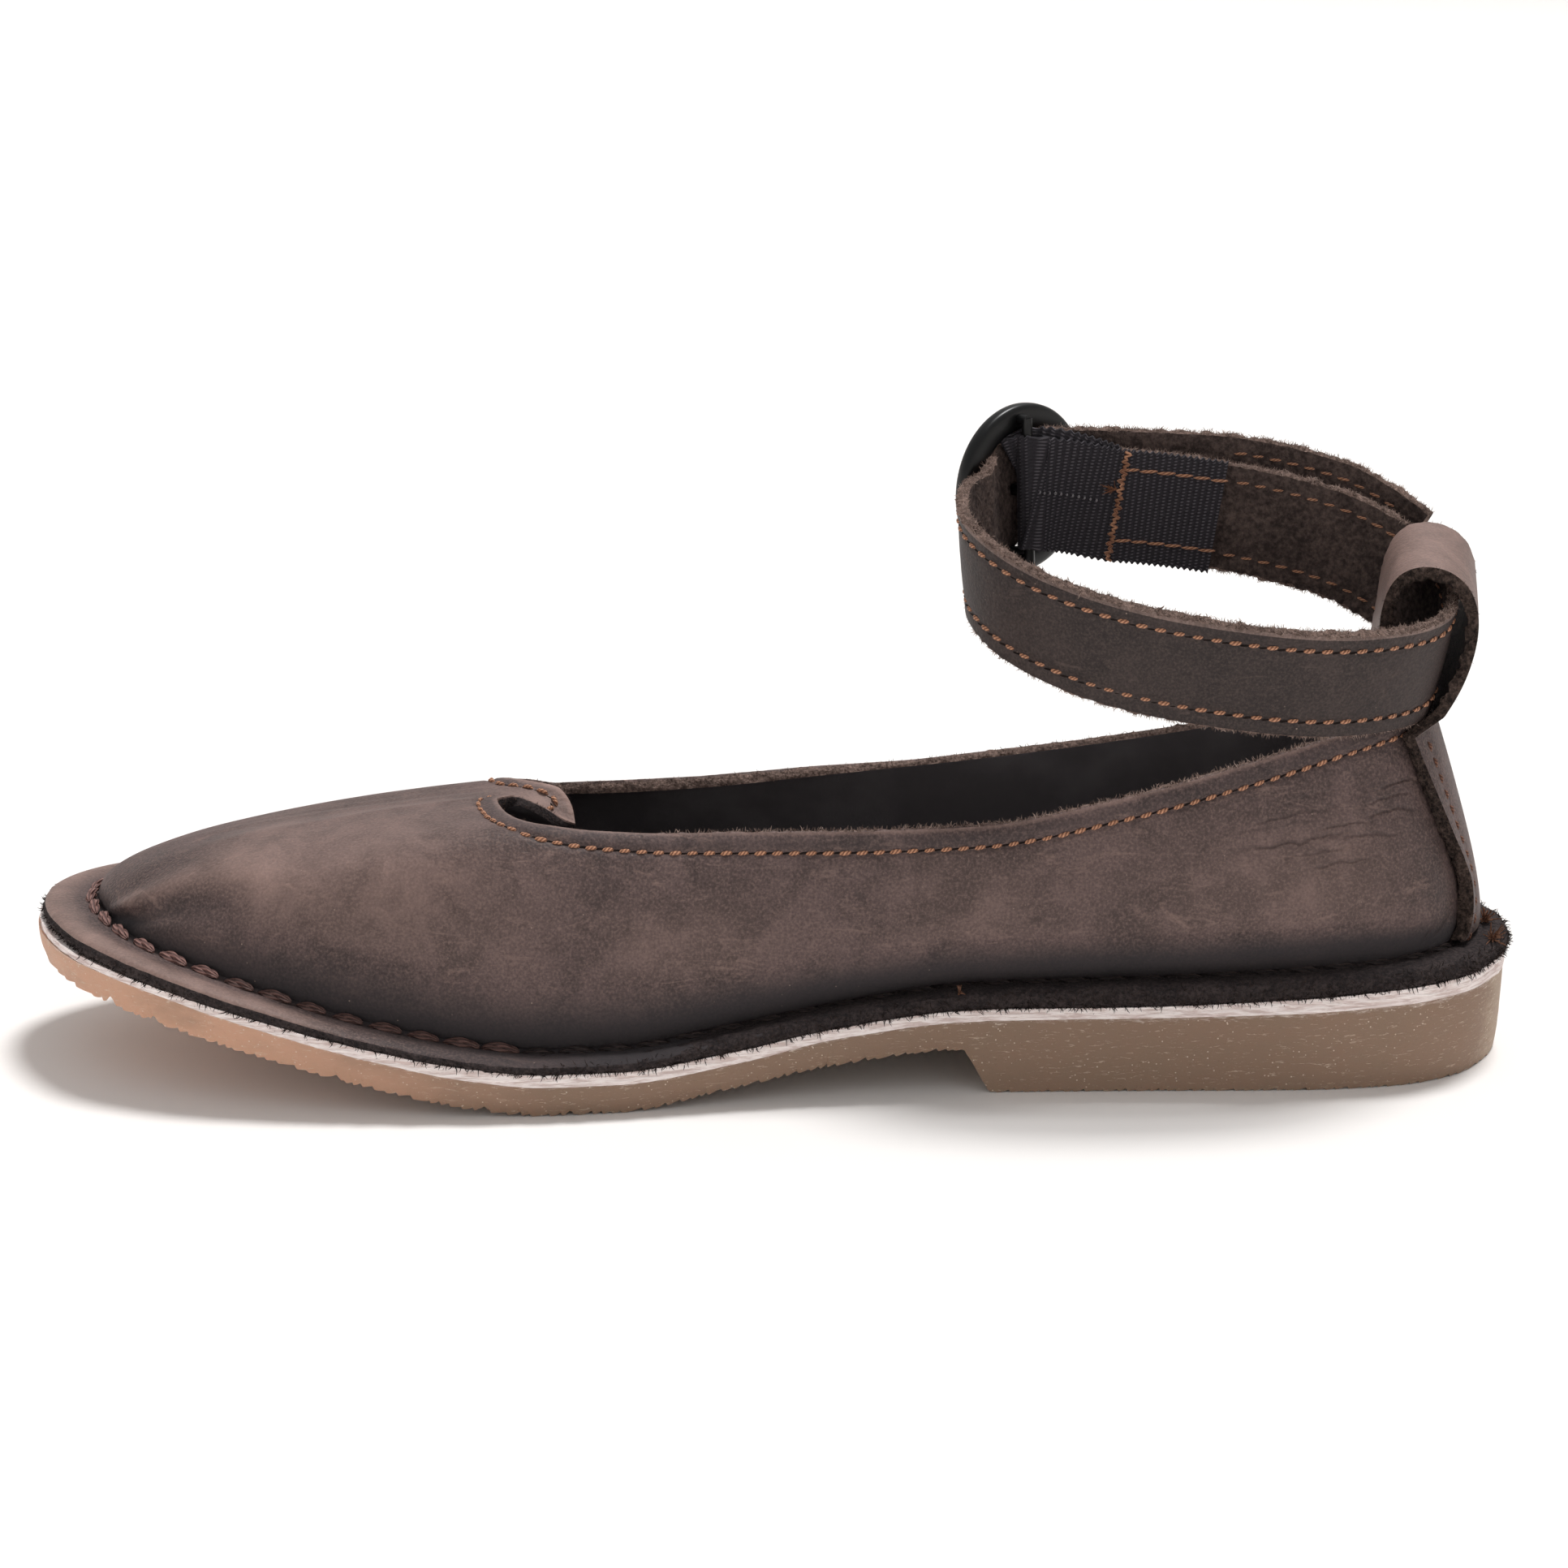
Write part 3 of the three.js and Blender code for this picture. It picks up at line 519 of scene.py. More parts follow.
def grid_faces(rows, columns, close_rows, close_columns, caps=False):
    """Quads of a grid of points, with their row and column numbers; end caps have column -1."""
    i = np.arange(rows if close_rows else rows - 1)
    j = np.arange(columns if close_columns else columns - 1)
    i, j = (k.ravel() for k in np.meshgrid(i, j, indexing="ij"))
    i2, j2 = (i + 1) % rows, (j + 1) % columns
    faces = np.stack([i * columns + j, i * columns + j2, i2 * columns + j2, i2 * columns + j], -1)
    if caps:
        k = np.arange(columns // 2 - 1)
        ladder = np.stack([k, columns - 1 - k, columns - 2 - k, k + 1], -1)
        end = (rows - 1) * columns
        faces = np.vstack([faces, ladder, end + ladder[:, ::-1]])
        i = np.concatenate([i, np.zeros(2 * len(k), int)])
        j = np.concatenate([j, np.full(2 * len(k), -1)])
    return faces, i, j


def outwards(points, faces):
    """Faces turned so that the shape they close has a positive volume."""
    p = np.asarray(points).reshape(-1, 3)
    a, b, c, d = (p[faces[:, k]] for k in range(4))
    volume = np.einsum("ij,ij->", a, np.cross(b, c)) + np.einsum("ij,ij->", a, np.cross(c, d))
    return faces if volume > 0 else faces[:, ::-1]


def grid_piece(name, grid, finishes, part_of, close_rows=False, cap=None, uv=None):
    """Closed piece from a grid of section loops; part_of is its finish, or that of each column or point."""
    rows, columns = grid.shape[:2]
    faces, row, column = grid_faces(rows, columns, close_rows, True, cap is not None)
    parts = np.broadcast_to(np.asarray(part_of), (rows, columns))
    finish_of = np.where(column < 0, 0 if cap is None else cap, parts[row, column])
    return mesh_piece(name, grid, outwards(grid, faces), finishes, finish_of, uv)


def grid_uv(rows, columns):
    """UV map of a grid, from 0 to 1 along its rows and columns."""
    u, v = np.meshgrid(np.linspace(0, 1, rows), np.linspace(0, 1, columns), indexing="ij")
    return np.stack([u.ravel(), v.ravel()], -1)


def tube(name, path, radius, sides, finish):
    """Round tube along a line of points; radius may change along it."""
    path = np.asarray(path, float)
    along = tangents(path)
    side = np.cross(along[0], [0.3, 0.5, 0.8])
    sides_of = []
    for direction in along:
        side = unit(side - direction * (side @ direction))
        sides_of.append(side)
    side = np.array(sides_of)
    rise = np.cross(along, side)
    angle = np.linspace(0, 2 * math.pi, sides, endpoint=False)[:, None]
    radius = np.broadcast_to(np.asarray(radius, float), len(path))[:, None, None]
    ring = side[:, None] * np.cos(angle) + rise[:, None] * np.sin(angle)
    return grid_piece(name, path[:, None] + ring * radius, [finish], 0, False, 0, grid_uv(len(path), sides))


def joined(name, pieces):
    """One object from several, which go."""
    with bpy.context.temp_override(active_object=pieces[0], selected_editable_objects=pieces):
        bpy.ops.object.join()
    pieces[0].name = name
    pieces[0].data.name = name
    return pieces[0]


# Geometry node trees

class Tree:
    """A geometry node tree with named inputs."""

    def __init__(self, name, inputs):
        self.group = bpy.data.node_groups.new(name, "GeometryNodeTree")
        face = self.group.interface
        face.new_socket("Geometry", in_out="INPUT", socket_type="NodeSocketGeometry")
        self.sockets = {key: face.new_socket(key, in_out="INPUT", socket_type=kind)
                        for key, kind in inputs.items()}
        face.new_socket("Geometry", in_out="OUTPUT", socket_type="NodeSocketGeometry")
        self.inputs = self.group.nodes.new("NodeGroupInput").outputs

    def node(self, kind, settings=None, sockets=None):
        node = self.group.nodes.new(kind)
        for key, value in (settings or {}).items():
            setattr(node, key, value)
        for key, value in (sockets or {}).items():
            if isinstance(value, bpy.types.NodeSocket):
                self.group.links.new(value, node.inputs[key])
            else:
                node.inputs[key].default_value = value
        return node.outputs

    def end(self, instances, finish):
        """Instances made into one plain mesh with a finish."""
        plain = self.node("GeometryNodeRealizeInstances", {}, {"Geometry": instances})[0]
        dressed = self.node("GeometryNodeSetMaterial", {}, {"Geometry": plain, "Material": finish})[0]
        output = self.group.nodes.new("NodeGroupOutput")
        self.group.links.new(dressed, output.inputs[0])

    def grown(self, name, source, **values):
        """Plain mesh that the tree makes on a source object, which goes."""
        modifier = source.modifiers.new(name, "NODES")
        modifier.node_group = self.group
        for key, value in values.items():
            modifier[self.sockets[key].identifier] = value
        bpy.context.view_layer.update()
        graph = bpy.context.evaluated_depsgraph_get()
        mesh = bpy.data.meshes.new_from_object(source.evaluated_get(graph))
        source.modifiers.remove(modifier)
        bpy.data.objects.remove(source)
        mesh.name = name
        mesh.shade_smooth()
        return object_from(name, mesh)


def seam_tree():
    """Stitches on points that carry their run and their up direction."""
    tree = Tree("seam", {"Stitch": "NodeSocketObject", "Thread": "NodeSocketMaterial",
                         "Unevenness": "NodeSocketFloat", "Seed": "NodeSocketInt"})
    inputs = tree.inputs
    vector = {"data_type": "FLOAT_VECTOR"}
    along, up = (tree.node("GeometryNodeInputNamedAttribute", vector, {"Name": name})[0]
                 for name in ("run", "up"))
    turn = tree.node("FunctionNodeAxesToRotation", {"primary_axis": "Z", "secondary_axis": "X"},
                     {"Primary Axis": up, "Secondary Axis": along})[0]
    stitch = tree.node("GeometryNodeObjectInfo", {}, {"Object": inputs["Stitch"]})["Geometry"]
    low, high = (tree.node("ShaderNodeMath", {"operation": how}, {0: 1.0, 1: inputs["Unevenness"]})[0]
                 for how in ("SUBTRACT", "ADD"))
    size = tree.node("FunctionNodeRandomValue", {"data_type": "FLOAT"},
                     {2: low, 3: high, "Seed": inputs["Seed"]})[1]
    rows = tree.node("GeometryNodeInstanceOnPoints", {}, {
        "Points": inputs["Geometry"], "Instance": stitch, "Rotation": turn, "Scale": size})[0]
    tree.end(rows, inputs["Thread"])
    return tree


def fuzz_tree():
    """Loose fibres on a strip of raw leather."""
    tree = Tree("fuzz", {"Fibre": "NodeSocketObject", "Suede": "NodeSocketMaterial",
                         "Density": "NodeSocketFloat", "Shortest": "NodeSocketFloat",
                         "Longest": "NodeSocketFloat", "Lean": "NodeSocketFloat", "Seed": "NodeSocketInt"})
    inputs = tree.inputs
    spread = tree.node("GeometryNodeDistributePointsOnFaces", {}, {
        "Mesh": inputs["Geometry"], "Density": inputs["Density"], "Seed": inputs["Seed"]})
    fibre = tree.node("GeometryNodeObjectInfo", {}, {"Object": inputs["Fibre"]})["Geometry"]
    size = tree.node("FunctionNodeRandomValue", {"data_type": "FLOAT"}, {
        2: inputs["Shortest"], 3: inputs["Longest"], "Seed": inputs["Seed"]})[1]
    rows = tree.node("GeometryNodeInstanceOnPoints", {}, {
        "Points": spread["Points"], "Instance": fibre, "Rotation": spread["Rotation"], "Scale": size})[0]
    lean = inputs["Lean"]
    away = tree.node("ShaderNodeMath", {"operation": "MULTIPLY"}, {0: lean, 1: -1.0})[0]
    low = tree.node("ShaderNodeCombineXYZ", {}, {0: away, 1: away, 2: -math.pi})[0]
    high = tree.node("ShaderNodeCombineXYZ", {}, {0: lean, 1: lean, 2: math.pi})[0]
    turn = tree.node("FunctionNodeRandomValue", {"data_type": "FLOAT_VECTOR"}, {
        0: low, 1: high, "Seed": inputs["Seed"]})[0]
    leaning = tree.node("GeometryNodeRotateInstances", {}, {"Instances": rows, "Rotation": turn})[0]
    tree.end(leaning, inputs["Suede"])
    return tree


# Finishes

class Wire:
    """A value in a finish; sums and products of wires add Math nodes."""

    def __init__(self, finish, socket):
        self.finish = finish
        self.socket = socket

    def math(self, operation, a, b=0.0, clamp=False):
        return self.finish.node("ShaderNodeMath", {"operation": operation, "use_clamp": clamp}, {0: a, 1: b})

    def __add__(self, other):
        return self.math("ADD", self, other)

    def __radd__(self, other):
        return self.math("ADD", other, self)

    def __sub__(self, other):
        return self.math("SUBTRACT", self, other)

    def __rsub__(self, other):
        return self.math("SUBTRACT", other, self)

    def __mul__(self, other):
        return self.math("MULTIPLY", self, other)

    def __rmul__(self, other):
        return self.math("MULTIPLY", other, self)

    def __truediv__(self, other):
        return self.math("DIVIDE", self, other)

    def __rtruediv__(self, other):
        return self.math("DIVIDE", other, self)

    def clamped(self):
        return self.math("ADD", self, 0.0, True)

    def sine(self):
        return self.math("SINE", self)

    def absolute(self):
        return self.math("ABSOLUTE", self)


class Finish:
    """A material and the nodes that make it."""

    def __init__(self, name):
        self.material = bpy.data.materials.new(name)
        self.material.use_nodes = True
        self.tree = self.material.node_tree
        self.shader = self.tree.nodes["Principled BSDF"]

    def node(self, kind, settings=None, sockets=None, output=0):
        """Adds a node: its settings first, then the values or wires of its sockets."""
        node = self.tree.nodes.new(kind)
        for key, value in (settings or {}).items():
            setattr(node, key, value)
        self.plug(node, sockets or {})
        return Wire(self, node.outputs[output])

    def plug(self, node, sockets):
        for key, value in sockets.items():
            if isinstance(value, Wire):
                self.tree.links.new(value.socket, node.inputs[key])
            else:
                node.inputs[key].default_value = value

    def place(self):
        """Object coordinates, in metres."""
        return self.node("ShaderNodeTexCoord", output=3)

    def unrolled(self):
        """The piece's own UV map."""
        return self.node("ShaderNodeTexCoord", output=2)

    def attribute(self, name):
        """A number painted on the mesh."""
        return self.node("ShaderNodeAttribute", {"attribute_name": name}, output=2)

    def parts(self, vector):
        split = self.node("ShaderNodeSeparateXYZ", {}, {0: vector})
        node = split.socket.node
        return [Wire(self, node.outputs[k]) for k in range(3)]

    def stretched(self, vector, scale):
        return self.node("ShaderNodeMapping", {}, {"Vector": vector, "Scale": scale})

    def noise(self, vector, size, detail=3.0, roughness=0.55, distortion=0.0):
        """Noise whose lumps have about the given size in metres."""
        return self.node("ShaderNodeTexNoise", {}, {
            "Vector": vector, "Scale": 1 / size, "Detail": detail, "Roughness": roughness,
            "Distortion": distortion})

    def cells(self, vector, size, feature="F1"):
        return self.node("ShaderNodeTexVoronoi", {"feature": feature}, {"Vector": vector, "Scale": 1 / size})

    def band(self, value, low, high):
        """Value between low and high brought to 0 and 1, with soft ends."""
        return self.node("ShaderNodeMapRange", {"interpolation_type": "SMOOTHSTEP"}, {
            "Value": value, "From Min": low, "From Max": high})

    def blend(self, share, a, b):
        """Colours a and b mixed by a share."""
        return self.node("ShaderNodeMix", {"data_type": "RGBA"},
                         {0: share, 6: solid(a), 7: solid(b)}, output=2)

    def bump(self, height, distance, strength):
        return self.node("ShaderNodeBump", {}, {"Height": height, "Distance": distance, "Strength": strength})

    def done(self, **sockets):
        """Links or sets the shader's own sockets."""
        self.plug(self.shader, {key.replace("_", " "): solid(value) for key, value in sockets.items()})
        return self.material


def solid(value):
    """A three-part colour gets its alpha."""
    return (*value, 1) if isinstance(value, tuple) and len(value) == 3 else value


def shade(*screen):
    """Colour given as 0 to 255 on screen, as linear light."""
    return tuple(v / 255 / 12.92 if v <= 10 else ((v / 255 + 0.055) / 1.055) ** 2.4 for v in screen)


# Fine wrinkles at the heel's inner side: middle as x and z, half length, rise, bend, width and depth
WRINKLES = (
    (92.3, 49.6, 9.5, 1.8, -0.6, 0.55, 1.0),
    (92.0, 44.8, 14, 1.6, -0.3, 0.6, 1.0),
    (100.5, 41.0, 7, 0.4, -0.5, 0.5, 0.7),
    (101.0, 47.3, 6, 0.6, -0.5, 0.5, 0.8),
    (111.3, 53.6, 5, 0.4, -0.7, 0.55, 1.0),
    (110.0, 49.2, 6, 0.3, -0.7, 0.55, 1.0),
    (110.0, 51.4, 5.5, 0.3, -0.7, 0.5, 0.7),
    (88.0, 47.4, 8, 1.2, 0.3, 0.5, 0.7),
    (97.0, 43.0, 9, 0.9, -0.4, 0.5, 0.6),
    (106.0, 45.4, 7, 0.2, -0.5, 0.5, 0.7),
    (95.0, 52.6, 8, 1.6, -0.4, 0.5, 0.5),
    (120.4, 26.4, 2.4, 2.4, 0.2, 0.7, 0.9),
    (117.6, 26.0, 1.4, 1.8, 0, 0.7, 0.8),
)


def wrinkled(f, at):
    """Depth of the fine wrinkles: bent lines that wander a little and fade at their ends."""
    x, y, z = f.parts(at)
    wander = (f.noise(at, 0.0045, 3) - 0.5) * 0.0022
    total = 0.0
    for middle_x, middle_z, half, rise, bend, width, depth in WRINKLES:
        u = (x - middle_x * MM) / (half * MM)
        line = u * (rise * MM) + u * u * (bend * MM) + wander
        away = (z - middle_z * MM - line).absolute()
        total = f.band(away, width * MM, 0.0) * f.band(u.absolute(), 1.0, 0.3) * depth + total
    return total * f.band(y, -0.006, -0.012)


# Size of the colour clouds on leather in metres, colour of its painted shade at the foot, in folds and on the
# welt, and colour of its specks
CLOUD = 0.03
PAINTED_SHADE_DARK = shade(58, 55, 57)
SPECK = shade(168, 146, 132)


def grain_leather(name, dark, middle, light, wrinkles=False):
    """Waxed pull-up leather: cloudy colour, scuffs, pebbled grain and pin-prick pores, with painted shade and
    painted highlight from the painted tone, and painted shade in the wrinkles.
    """
    f = Finish(name)
    at = f.place()
    clouds = f.noise(at, CLOUD, 4, 0.6, 0.4)
    patches = f.noise(at, CLOUD / 3, 5, 0.65, 0.8)
    rubbed = f.noise(f.stretched(at, (0.4, 1, 1.6)), CLOUD / 5, 5, 0.7, 1.2)
    fine = f.noise(at, 0.0005, 3, 0.65)
    share = f.band(clouds * 0.5 + patches * 0.5, 0.38, 0.62)
    scuff = f.band(rubbed, 0.56, 0.74)
    colour = f.blend(share, dark, middle)
    colour = f.blend(scuff * 0.5, colour, light)
    colour = f.blend(f.band(fine, 0.42, 0.72) * 0.36, colour, light)
    colour = f.blend(f.band(fine, 0.46, 0.26) * 0.5, colour, tuple(0.5 * v for v in dark))
    tone = f.attribute("tone")
    # Painted shade where the tone is below 0, mostly at the wall's foot, in fold valleys and on the welt
    # beside the wall
    colour = f.blend((tone * -1.0).clamped(), colour, PAINTED_SHADE_DARK)
    # Paler where the tone is above 0: partly rubbed wear, partly painted highlight
    colour = f.blend((tone * (patches * 1.5 + 0.25)).clamped(), colour, tuple(1.5 * v for v in light))
    speck = f.band(f.cells(at, 0.0021), 0.09, 0.04) * f.band(f.noise(at, 0.006), 0.5, 0.7)
    colour = f.blend(speck * 0.7, colour, SPECK)
    pebbles = f.cells(at, 0.0007, "SMOOTH_F1")
    waves = f.noise(f.stretched(at, (0.5, 1, 1.4)), 0.0035, 4, 0.6, 0.6)
    height = pebbles * 0.5 + fine * 0.6 + waves * 0.4
    if wrinkles:
        depth = wrinkled(f, at)
        # Painted shade in the wrinkles' valleys
        colour = f.blend(depth * 0.4, colour, dark)
        height = height - depth * 1.7
    rough = 0.52 + share * 0.08 + scuff * 0.12 + (tone * -0.4).clamped()
    return f.done(Base_Color=colour, Roughness=rough, Normal=f.bump(height, 0.0002, 0.85),
                  Specular_IOR_Level=0.2)


def raw_leather(name, dark, light, lump=0.0007):
    """Cut edge or flesh side: fibrous, matt, unevenly coloured."""
    f = Finish(name)
    at = f.place()
    crumbs = f.noise(at, lump, 4, 0.7)
    patches = f.noise(at, lump * 7, 3, 0.6)
    share = f.band(crumbs * 0.7 + patches * 0.3, 0.36, 0.68)
    colour = f.blend(share, dark, light)
    height = crumbs + f.cells(at, lump * 0.7) * 0.5
    return f.done(Base_Color=colour, Roughness=0.95, Normal=f.bump(height, lump * 0.6, 0.9),
                  Specular_IOR_Level=0.1)


def thread(name, dark, light, plies=2.0, turns=3.0):
    """Twisted thread; the twist follows the stitch's own UV map."""
    f = Finish(name)
    along, around, _ = f.parts(f.unrolled())
    twist = ((around * plies + along * turns) * (2 * math.pi)).sine()
    fuzz = f.noise(f.place(), 0.0002, 2)
    share = (twist * 0.4 + 0.3 + fuzz * 0.4).clamped()
    colour = f.blend(share, dark, light)
    return f.done(Base_Color=colour, Roughness=0.6, Normal=f.bump(twist + fuzz, 0.00012, 0.7),
                  Specular_IOR_Level=0.35)


def sole_rubber():
    """Honey rubber: paler at the toe, partly a painted glow of light shining through the rubber, browner
    towards the heel, with fine slanting flecks and pale dust.
    """
    f = Finish("honey_rubber")
    at = f.place()
    x, _, _ = f.parts(at)
    _, climb, _ = f.parts(f.unrolled())
    clouds = f.noise(f.stretched(at, (0.6, 0.6, 1.4)), 0.014, 4, 0.6)
    slant = f.node("ShaderNodeMapping", {}, {"Vector": at, "Rotation": (0, 0.3, 0), "Scale": (0.3, 0.3, 1.5)})
    flecks = f.noise(slant, 0.0007, 4, 0.75, 0.5)
    grit = f.noise(at, 0.0005, 3, 0.7)
    # Paler towards the toe: partly a painted glow of light shining through the rubber
    heelward = f.band(x + (clouds - 0.5) * 0.05, -0.105, -0.035)
    colour = f.blend(heelward, shade(196, 153, 128), shade(138, 113, 95))
    colour = f.blend(f.band(clouds, 0.42, 0.7) * 0.45, colour, shade(132, 112, 94))
    colour = f.blend(f.band(flecks, 0.57, 0.7) * 0.6, colour, shade(204, 184, 164))
    colour = f.blend(f.band(grit, 0.6, 0.8) * 0.35, colour, shade(84, 66, 54))
    dust = f.band(f.cells(at, 0.0011), 0.17, 0.07) * f.band(f.noise(at, 0.01), 0.38, 0.56)
    colour = f.blend(dust * 0.8, colour, shade(216, 198, 180))
    chalk = f.band(climb + (flecks - 0.5) * 0.45, 0.94, 1.1)
    colour = f.blend(chalk * 0.7, colour, shade(222, 206, 198))
    worn = x + (grit - 0.5) * 0.008 + (flecks - 0.5) * 0.008 + (clouds - 0.5) * 0.012
    scraped = f.band(worn, 0.126, 0.1312)
    colour = f.blend(scraped * 0.36, colour, shade(200, 182, 160))
    height = flecks * 0.5 + grit * 0.5
    return f.done(Base_Color=colour, Roughness=0.52 + grit * 0.18, Normal=f.bump(height, 0.00025, 0.6),
                  Specular_IOR_Level=0.35, Subsurface_Weight=0.15, Subsurface_Scale=0.004)


def runner_rubber():
    """Pale buffed midsole: brushed along its run, with brown smears and dark flecks."""
    f = Finish("pale_runner")
    at = f.place()
    brushed = f.noise(f.stretched(at, (0.16, 0.16, 1.5)), 0.0009, 4, 0.7, 0.4)
    smear = f.noise(f.stretched(at, (0.4, 0.4, 1.2)), 0.003, 4, 0.7)
    colour = f.blend(f.band(brushed, 0.36, 0.6), shade(212, 192, 187), shade(250, 240, 237))
    colour = f.blend(f.band(smear, 0.62, 0.76) * 0.45, colour, shade(164, 140, 128))
    return f.done(Base_Color=colour, Roughness=0.9, Normal=f.bump(brushed, 0.0005, 0.8),
                  Specular_IOR_Level=0.15)


def webbing():
    """Black elastic: ribs across the band, each a row of small loops."""
    f = Finish("black_webbing")
    along, across, _ = f.parts(f.unrolled())
    ribs = 2 * math.pi * 1000 / RIB_PITCH
    rib = (along * ribs).sine() * 0.5 + 0.5
    loops = (across * (2 * math.pi * 1000 / LOOP_PITCH) + along * (ribs / 2)).sine() * 0.5 + 0.5
    fuzz = f.noise(f.place(), 0.0003, 3)
    share = (f.band(rib * loops, 0.3, 0.9) * 0.8 + fuzz * 0.25).clamped()
    colour = f.blend(share, shade(38, 36, 40), shade(96, 92, 97))
    return f.done(Base_Color=colour, Roughness=0.85, Normal=f.bump(rib * 0.5 + loops * 0.5, 0.0003, 0.8),
                  Specular_IOR_Level=0.15)


def black_gloss():
    """Lacquered buckle with faint rubs."""
    f = Finish("black_gloss")
    rubs = f.noise(f.place(), 0.002, 4, 0.7)
    colour = f.blend(f.band(rubs, 0.55, 0.8) * 0.4, shade(10, 10, 11), shade(24, 23, 23))
    return f.done(Base_Color=colour, Roughness=0.26 + rubs * 0.16, Specular_IOR_Level=0.32)


def plain_lining(name, dark, light):
    """Dark smooth lining with a faint nap."""
    f = Finish(name)
    at = f.place()
    nap = f.noise(at, 0.0008, 4, 0.6)
    colour = f.blend(f.band(f.noise(at, 0.02, 3), 0.4, 0.7), dark, light)
    return f.done(Base_Color=colour, Roughness=0.85, Normal=f.bump(nap, 0.0002, 0.5), Specular_IOR_Level=0.2)


def pale_floor():
    f = Finish("pale_floor")
    return f.done(Base_Color=(0.93, 0.905, 0.885), Roughness=0.6, Specular_IOR_Level=0.2)


# Size of the lumps of colour on loose fibres, in metres
FIBRE_LUMP = 0.002
GRAIN = grain_leather("brown_leather", shade(66, 55, 54), shade(95, 79, 77), shade(148, 123, 114), True)
STRAP_GRAIN = grain_leather("strap_leather", shade(48, 41, 40), shade(63, 54, 52), shade(98, 83, 78))
# Lighter copy of the strap leather: painted highlight along the strap's upper edge
LIT_STRAP_GRAIN = grain_leather("strap_rim", shade(96, 81, 76), shade(126, 107, 100), shade(166, 143, 133))
SUEDE = raw_leather("raw_edge", shade(80, 67, 62), shade(152, 129, 119))
DARK_SUEDE = raw_leather("dark_raw_edge", shade(43, 39, 40), shade(73, 64, 63))
CRUMB_SUEDE = raw_leather("crumbly_edge", shade(30, 26, 25), shade(94, 79, 72), 0.0009)
FLESH = raw_leather("flesh_side", shade(54, 46, 44), shade(98, 84, 79), 0.0011)
FIBRE_PALE = raw_leather("pale_fibre", shade(110, 92, 85), shade(184, 162, 151), FIBRE_LUMP)
FIBRE_BROWN = raw_leather("brown_fibre", shade(66, 52, 47), shade(112, 92, 83), FIBRE_LUMP)
FIBRE_COPPER = raw_leather("copper_fibre", shade(92, 60, 44), shade(170, 120, 92), FIBRE_LUMP)
FIBRE_RUST = raw_leather("rust_fibre", shade(84, 58, 46), shade(142, 104, 84), FIBRE_LUMP)
FIBRE_DARK = raw_leather("dark_fibre", shade(34, 29, 28), shade(66, 55, 51), FIBRE_LUMP)
COPPER = thread("copper_thread", shade(106, 65, 47), shade(214, 158, 124))
RUST = thread("rust_thread", shade(70, 45, 37), shade(134, 92, 72))
# One welt thread in three copies, darker towards the heel: painted shade under the overhanging wall
MADDER = thread("welt_thread", shade(70, 46, 44), shade(150, 112, 104), 3.0, 2.0)
HALF_SHADED = thread("dusky_welt_thread", shade(56, 40, 38), shade(116, 86, 79), 3.0, 2.0)
SHADED = thread("shaded_welt_thread", shade(30, 24, 24), shade(54, 42, 40), 3.0, 2.0)
GREY = thread("grey_thread", shade(96, 92, 96), shade(176, 172, 174))
RUBBER = sole_rubber()
RUNNER = runner_rubber()
WEBBING = webbing()
GLOSS = black_gloss()
LINING = plain_lining("dark_lining", shade(85, 81, 83), shade(100, 96, 98))
INSOLE = plain_lining("insole_lining", shade(58, 53, 53), shade(72, 66, 65))
# Dark dashes between stitches: painted shade in the stitch holes
HOLE_SHADE = raw_leather("stitch_hole", shade(24, 19, 18), shade(44, 35, 32))


# Stitches and fibres

def stitch_shape(name, length, width, height, strands=1, rings=7, sides=6, dip=0.5, lift=0.18,
                 taper=(0.92, 2.6)):
    """One stitch, or a twist of strands, at the frame's origin; its ends dip into the leather."""
    t = np.linspace(-1, 1, rings)[:, None]
    angle = np.linspace(0, 2 * math.pi, sides, endpoint=False)
    girth = np.sqrt(np.clip(1 - taper[0] * np.abs(t) ** taper[1], 0, 1))
    offset, thickness = (0.25, 0.29) if strands > 1 else (0, 0.5)
    parts = []
    for k in range(strands):
        twist = 2 * math.pi * k / strands + t * 1.7
        y = girth * width * (offset * np.cos(twist) + thickness * np.cos(angle))
        z = girth * height * (offset * np.sin(twist) + thickness * np.sin(angle))
        z = z + height * (lift - dip * np.abs(t) ** 3)
        grid = np.stack(np.broadcast_arrays(t * length / 2, y, z), -1)
        parts.append(grid_piece(name, grid - SHIFT, [], 0, False, 0, grid_uv(rings, sides)))
    return joined(name, parts) if strands > 1 else parts[0]


def fibre_shape():
    """One bent fibre, a millimetre long, to be scaled."""
    path = np.array([(0, 0, -0.15), (0.03, 0, 0.3), (0.14, 0.02, 0.62), (0.34, 0.06, 0.9)])
    return tube("fibre", path - SHIFT, np.array([0.085, 0.075, 0.055, 0.02]), 3, FIBRE_PALE)


SEAM = seam_tree()
FUZZ = fuzz_tree()
STITCHES = {
    "fine": stitch_shape("fine_stitch", 2.25, 0.8, 0.72),
    "flat": stitch_shape("flat_stitch", 3.3, 0.6, 0.5),
    "buried": stitch_shape("buried_stitch", 2.3, 0.5, 0.42),
    "dot": stitch_shape("dot_stitch", 0.6, 0.42, 0.3),
    "hole": stitch_shape("hole_stitch", 1.5, 0.38, 0.16, dip=0.1),
    "heavy": stitch_shape("heavy_stitch", 6.5, 2.0, 1.5, 3, 11, 5, 0.34, 0.16, (0.9, 2.4)),
}
FIBRE = fibre_shape()


